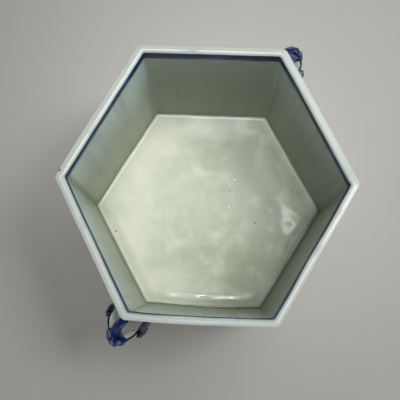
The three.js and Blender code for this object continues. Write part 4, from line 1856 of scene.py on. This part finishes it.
    def _ribbon(self, word: str, side: int) -> bpy.types.Object:
        """Builds a ribbon: square out from the wall, then in to the cheek, its inner face left white.

        Args:
            word: left or right.
            side: 1 on the left and -1 on the right.

        Returns:
            The ribbon.
        """
        thickness, height = self.ribbon
        path = [Vector((-12, side * self.ribbon_at, -21.6)), Vector((-4, side * self.ribbon_at, -21.2)),
                Vector((4.4, side * self.ribbon_at, -21.8)), Vector((8, side * 12.3, -23.2)),
                Vector((11.6, side * 10.6, -24.8)), Vector((17.4, side * 6.4, -27))]
        thin = thickness / 2
        steps = 40
        rings, tops = [], []
        for i in range(steps + 1):
            t = i / steps
            top = catmull(path, t)
            along = self._along(path, t)
            out = Vector((along.y, -along.x, 0)).normalized() * -side
            lean = self.ribbon_lean * smoothstep(top.x, 2, 10)
            swell = self.ribbon_swell * smoothstep(top.x, -3, 6)
            section = [(-thin * 0.7, 0.7), (-thin * 0.35, 0.1), (thin * 0.35, 0.1), (thin * 0.7, 0.7)]
            section += [(thin * (0.8 + 0.2 * s), height * s) for s in (0.3, 0.6, 0.9)]
            section += [(thin * 0.6, height), (-thin * 0.6, height)]
            section += [(-thin * (0.8 + 0.2 * s) - swell * smoothstep(s, 0, 0.35), height * s)
                        for s in (0.9, 0.6, 0.35, 0.2)]
            rings.append([top + out * (across - lean * down / height) - UP * down for across, down in section])
            tops.append((top, out, lean))

        def white(at: Vector) -> float:
            """White on the face towards the strap, dark at the top edge.

            Args:
                at: a point of the handle's frame.

            Returns:
                How bare the glaze is.
            """
            top, out, lean = min(tops, key=lambda each: (each[0].xy - at.xy).length)
            down = top.z - at.z
            depth = (at - top).dot(out) + lean * down / height
            return smoothstep(-depth, thin * 0.2, thin * 0.7) * smoothstep(down, 0.4, 1.1)

        return self._finish(word + "_ribbon", [loft("ribbon", rings)], [], 0.35, lambda at: 0.1, white)

    def _ear(self, word: str, side: int) -> bpy.types.Object:
        """Builds an ear: a cloud scroll on the ribbon's outer face, its round front raised in a volute.

        Args:
            word: left or right.
            side: 1 on the left and -1 on the right.

        Returns:
            The ear.
        """
        thickness, x, z, radius = self.ear
        start, end, steps = math.radians(-100), math.radians(95), 24
        outline = [Vector((x + radius * math.cos(a), 0, z + radius * math.sin(a)))
                   for a in (start + (end - start) * i / steps for i in range(steps + 1))]
        outline += [Vector((x - 4, 0, z + radius - 0.1)), Vector((x - 8, 0, z + radius - 0.8)),
                    Vector((self.wall, 0, z + radius - 1)), Vector((self.wall, 0, z - radius - 4.6)),
                    Vector((x - 8, 0, z - radius - 3.9)), Vector((x - 4, 0, z - radius - 1.6))]
        inner = self.ribbon_at + self.ribbon[0] / 2 - 0.2
        mesh = bmesh.new()
        edge = inner + thickness * 0.7
        near, far = ([mesh.verts.new(p + ACROSS * side * y) for p in outline] for y in (inner, edge))
        mesh.faces.new(near)
        mesh.faces.new(far)
        bridge(mesh, (near, far))
        plate = from_bmesh("plate", mesh)
        middle, bulge = inner + 1.6, thickness * 0.75
        dome = self._ball(1, Vector((x, side * middle, z)), Vector((radius, bulge, radius)))
        volute = []
        for at in self._volute(x, z, radius - 1.3, 1.9):
            away = math.hypot(at.x - x, at.z - z) / radius
            volute.append(Vector((at.x, side * (middle + bulge * math.sqrt(1 - away ** 2)), at.z)))
        tail = [[Vector((x - 3.5, side * edge, z + radius - 2)), Vector((x - 8, side * edge, z + 2.5)),
                 Vector((x - 11, side * edge, z - 4))],
                [Vector((x - 4, side * edge, z - radius + 0.5)), Vector((x - 8, side * edge, z - radius)),
                 Vector((x - 11, side * edge, z - radius - 2.4))]]
        raised = [self._rolled([volute], 0.6, 0.2), self._rolled(tail, 0.5, 0.4)]

        def white(at: Vector) -> float:
            """White on the lower half between the lines."""
            return 0.38 * smoothstep(z - 1 - at.z, 0, 4) * smoothstep(side * at.y, edge - 0.6, edge)

        def wash(at: Vector) -> float:
            """Thin cobalt on the round front, thick along its edge."""
            return 0.6 * smoothstep(math.hypot(at.x - x, at.z - z), radius, radius * 0.55)

        return self._finish(word + "_ear", [plate, dome], raised, 0.3, wash, white)

    def _volute(self, x: float, z: float, radius: float, turns: float) -> list[Vector]:
        """The flat spiral of an ear's front, wound in to its middle.

        Args:
            x: its middle on X.
            z: its middle on Z.
            radius: its radius where it starts.
            turns: its turns.

        Returns:
            Its points.
        """
        steps, wound, start = 30, 0.85, 1.6
        points = []
        for i in range(steps + 1):
            r, a = radius * (1 - wound * i / steps), math.tau * turns * i / steps - start
            points.append(Vector((x + r * math.cos(a), 0, z + r * math.sin(a))))
        return points


@dataclass
class Studio:
    """A plain pale floor, soft light and the photograph's camera.

    Attributes:
        plan: the burner's plan.
        floor_colour: the floor's colour.
        floor_patch: its patches' colour.
        pale: the colour of the surroundings, into which the floor fades.
        ambient: the colour of the light that they give.
        low_lamps: the lamps around the outside: name, angle from +X in degrees, and power.
        low_reach: their distance from the middle and their height.
        low_size: their two edges.
        focus: the height over the burner's middle that the soft lamps face.
        spot_aim: where the middle of the spot lamp's light falls on the basin's floor.
        spot: its softness, its cone in degrees, and the share of the cone over which it fades.
        camera_at: the camera's place over the middle of the mouth, from the rim's crest.
        camera_turn: its rotation about X, Y and Z, in radians.
        lens: its focal length in millimetres, on a sensor 36 wide.
        shift: the framing's vertical shift.
    """

    plan: HexPlan
    floor_colour: tuple = (0.51, 0.495, 0.465)
    floor_patch: tuple = (0.57, 0.55, 0.52)
    pale: tuple = (0.86, 0.85, 0.84)
    ambient: tuple = (0.95, 0.97, 1.0)
    low_lamps: tuple = (("low_right", -20, 5.0), ("low_back", 100, 3.6), ("low_left", 190, 3.4),
                        ("low_front", -100, 3.4))
    low_reach: tuple = (2.0, 0.30)
    low_size: tuple = (1.2, 0.4)
    focus: float = 0.06
    spot_aim: tuple = (-0.004, 0.088)
    spot: tuple = (0.18, 14, 0.8)
    camera_at: tuple = (9.4376 * MM, -104.7663 * MM, 318.0533 * MM)
    camera_turn: tuple = (0.1004, 0.0274, 0.0490)
    lens: float = 37.8
    shift: float = 0.1835

    def build(self) -> None:
        """Makes the floor, the lamps, the world and the camera."""
        self._floor()
        self._world()
        self._lamp("window", Vector((0.93, 0.24, 1.15)), (0.55, 0.55), 9.0)
        self._lamp("ceiling", Vector((0.0, -0.31, 1.47)), (0.50, 0.50), 2.0)
        self._lamp("far_window", Vector((0.55, 0.79, 1.15)), (0.50, 0.50), 2.6)
        self._spot("basin_light", Vector((0.0, -0.31, 1.47)), 51.0)
        self._lamp("glint", Vector((0.345, 0.312, 1.42)), (0.11, 0.06), 0.18)
        away, height = self.low_reach
        for name, angle, power in self.low_lamps:
            self._lamp(name, heading(math.radians(angle)) * away + UP * height, self.low_size, power)
        self._lamp("panel", Vector((-0.05, 0.50, 1.40)), (0.90, 0.70), 1.8)
        self._camera()
        bpy.context.scene.view_settings.view_transform = "Standard"
        log.info("studio: ready")

    def _floor(self) -> None:
        """Lays the floor, which fades into the surroundings far from the burner."""
        mesh = bmesh.new()
        bmesh.ops.create_grid(mesh, x_segments=4, y_segments=4, size=3)
        floor = from_bmesh("pale_floor", mesh, closed=False)
        material, g = new_material("pale_floor")
        colour = g.mix(g.noise(6, 2) * 0.2, self.floor_colour, self.floor_patch)
        away = g.out(g.node("ShaderNodeVectorMath", {"operation": "LENGTH"}), "Value")
        g.feed(away.socket.node.inputs[0], g.place())
        far = g.step(away, 0.6, 2.6)
        colour = g.mix(far, colour, BLACK)
        glow = g.mix(far, BLACK, self.pale)
        shader = g.node("ShaderNodeBsdfPrincipled", Base_Color=colour, Roughness=0.85, Specular_IOR_Level=0.0,
                        Emission_Color=glow, Emission_Strength=1.0)
        g.node("ShaderNodeOutputMaterial", Surface=g.out(shader))
        dress(floor, material)

    def _world(self) -> None:
        """Sets the pale surroundings."""
        world = bpy.data.worlds.new("studio")
        world.use_nodes = True
        bpy.context.scene.world = world
        g = Graph(world.node_tree)
        path = g.node("ShaderNodeLightPath")
        seen = g.out(path, "Is Camera Ray").most(g.out(path, "Is Transmission Ray"))
        soft = g.node("ShaderNodeBackground", Color=self.ambient, Strength=0.08)
        pale = g.node("ShaderNodeBackground", Color=self.pale, Strength=1.0)
        both = g.node("ShaderNodeMixShader")
        for target, value in zip(both.inputs, (seen, g.out(soft), g.out(pale))):
            g.feed(target, value)
        g.node("ShaderNodeOutputWorld", Surface=g.out(both))

    def _lamp(self, name: str, at: Vector, size: tuple[float, float], power: float) -> None:
        """Hangs a soft lamp that faces the basin.

        Args:
            name: the lamp's name.
            at: its place.
            size: its two edges.
            power: its power, in watts.
        """
        data = bpy.data.lights.new(name, "AREA")
        data.shape, data.energy = "RECTANGLE", power
        data.size, data.size_y = size
        lamp = link(name, data)
        lamp.location = at
        lamp.rotation_euler = (UP * self.focus - at).to_track_quat("-Z", "Y").to_euler()

    def _spot(self, name: str, at: Vector, power: float) -> None:
        """Hangs a soft spot lamp whose pool of light fills the basin.

        Args:
            name: the lamp's name.
            at: its place.
            power: its power, in watts.
        """
        softness, cone, fade = self.spot
        data = bpy.data.lights.new(name, "SPOT")
        data.energy, data.shadow_soft_size = power, softness
        data.spot_size, data.spot_blend = math.radians(cone), fade
        lamp = link(name, data)
        lamp.location = at
        aim = Vector((*self.spot_aim, self.plan.floor))
        lamp.rotation_euler = (aim - at).to_track_quat("-Z", "Y").to_euler()

    def _camera(self) -> None:
        """Sets the camera that matches the photograph."""
        data = bpy.data.cameras.new("camera")
        data.sensor_width, data.lens, data.shift_y = 36.0, self.lens, self.shift
        data.clip_start = 0.01
        camera = link("camera", data)
        turn = [Matrix.Rotation(a, 3, axis) for a, axis in zip(self.camera_turn, "XYZ")]
        place = Vector(self.camera_at) + UP * self.plan.height
        camera.matrix_world = Matrix.Translation(place) @ (turn[2] @ turn[1] @ turn[0]).to_4x4()
        bpy.context.scene.camera = camera


def main() -> None:
    """Builds the burner and its studio in order."""
    logging.basicConfig(level=logging.INFO, format="%(name)s: %(message)s")
    plan = HexPlan()
    glaze, cobalt = Porcelain().material(), Cobalt().material()
    ridges, curls = ridge_tree(), curl_tree()
    Basin(plan, glaze, hand_pressed_tree()).build()
    BracketFeet(plan, glaze).build()
    for corner in HandleCorner:
        BeastHandle(plan, corner, cobalt, ridges, curls).build()
    Studio(plan).build()


if __name__ == "__main__":
    main()
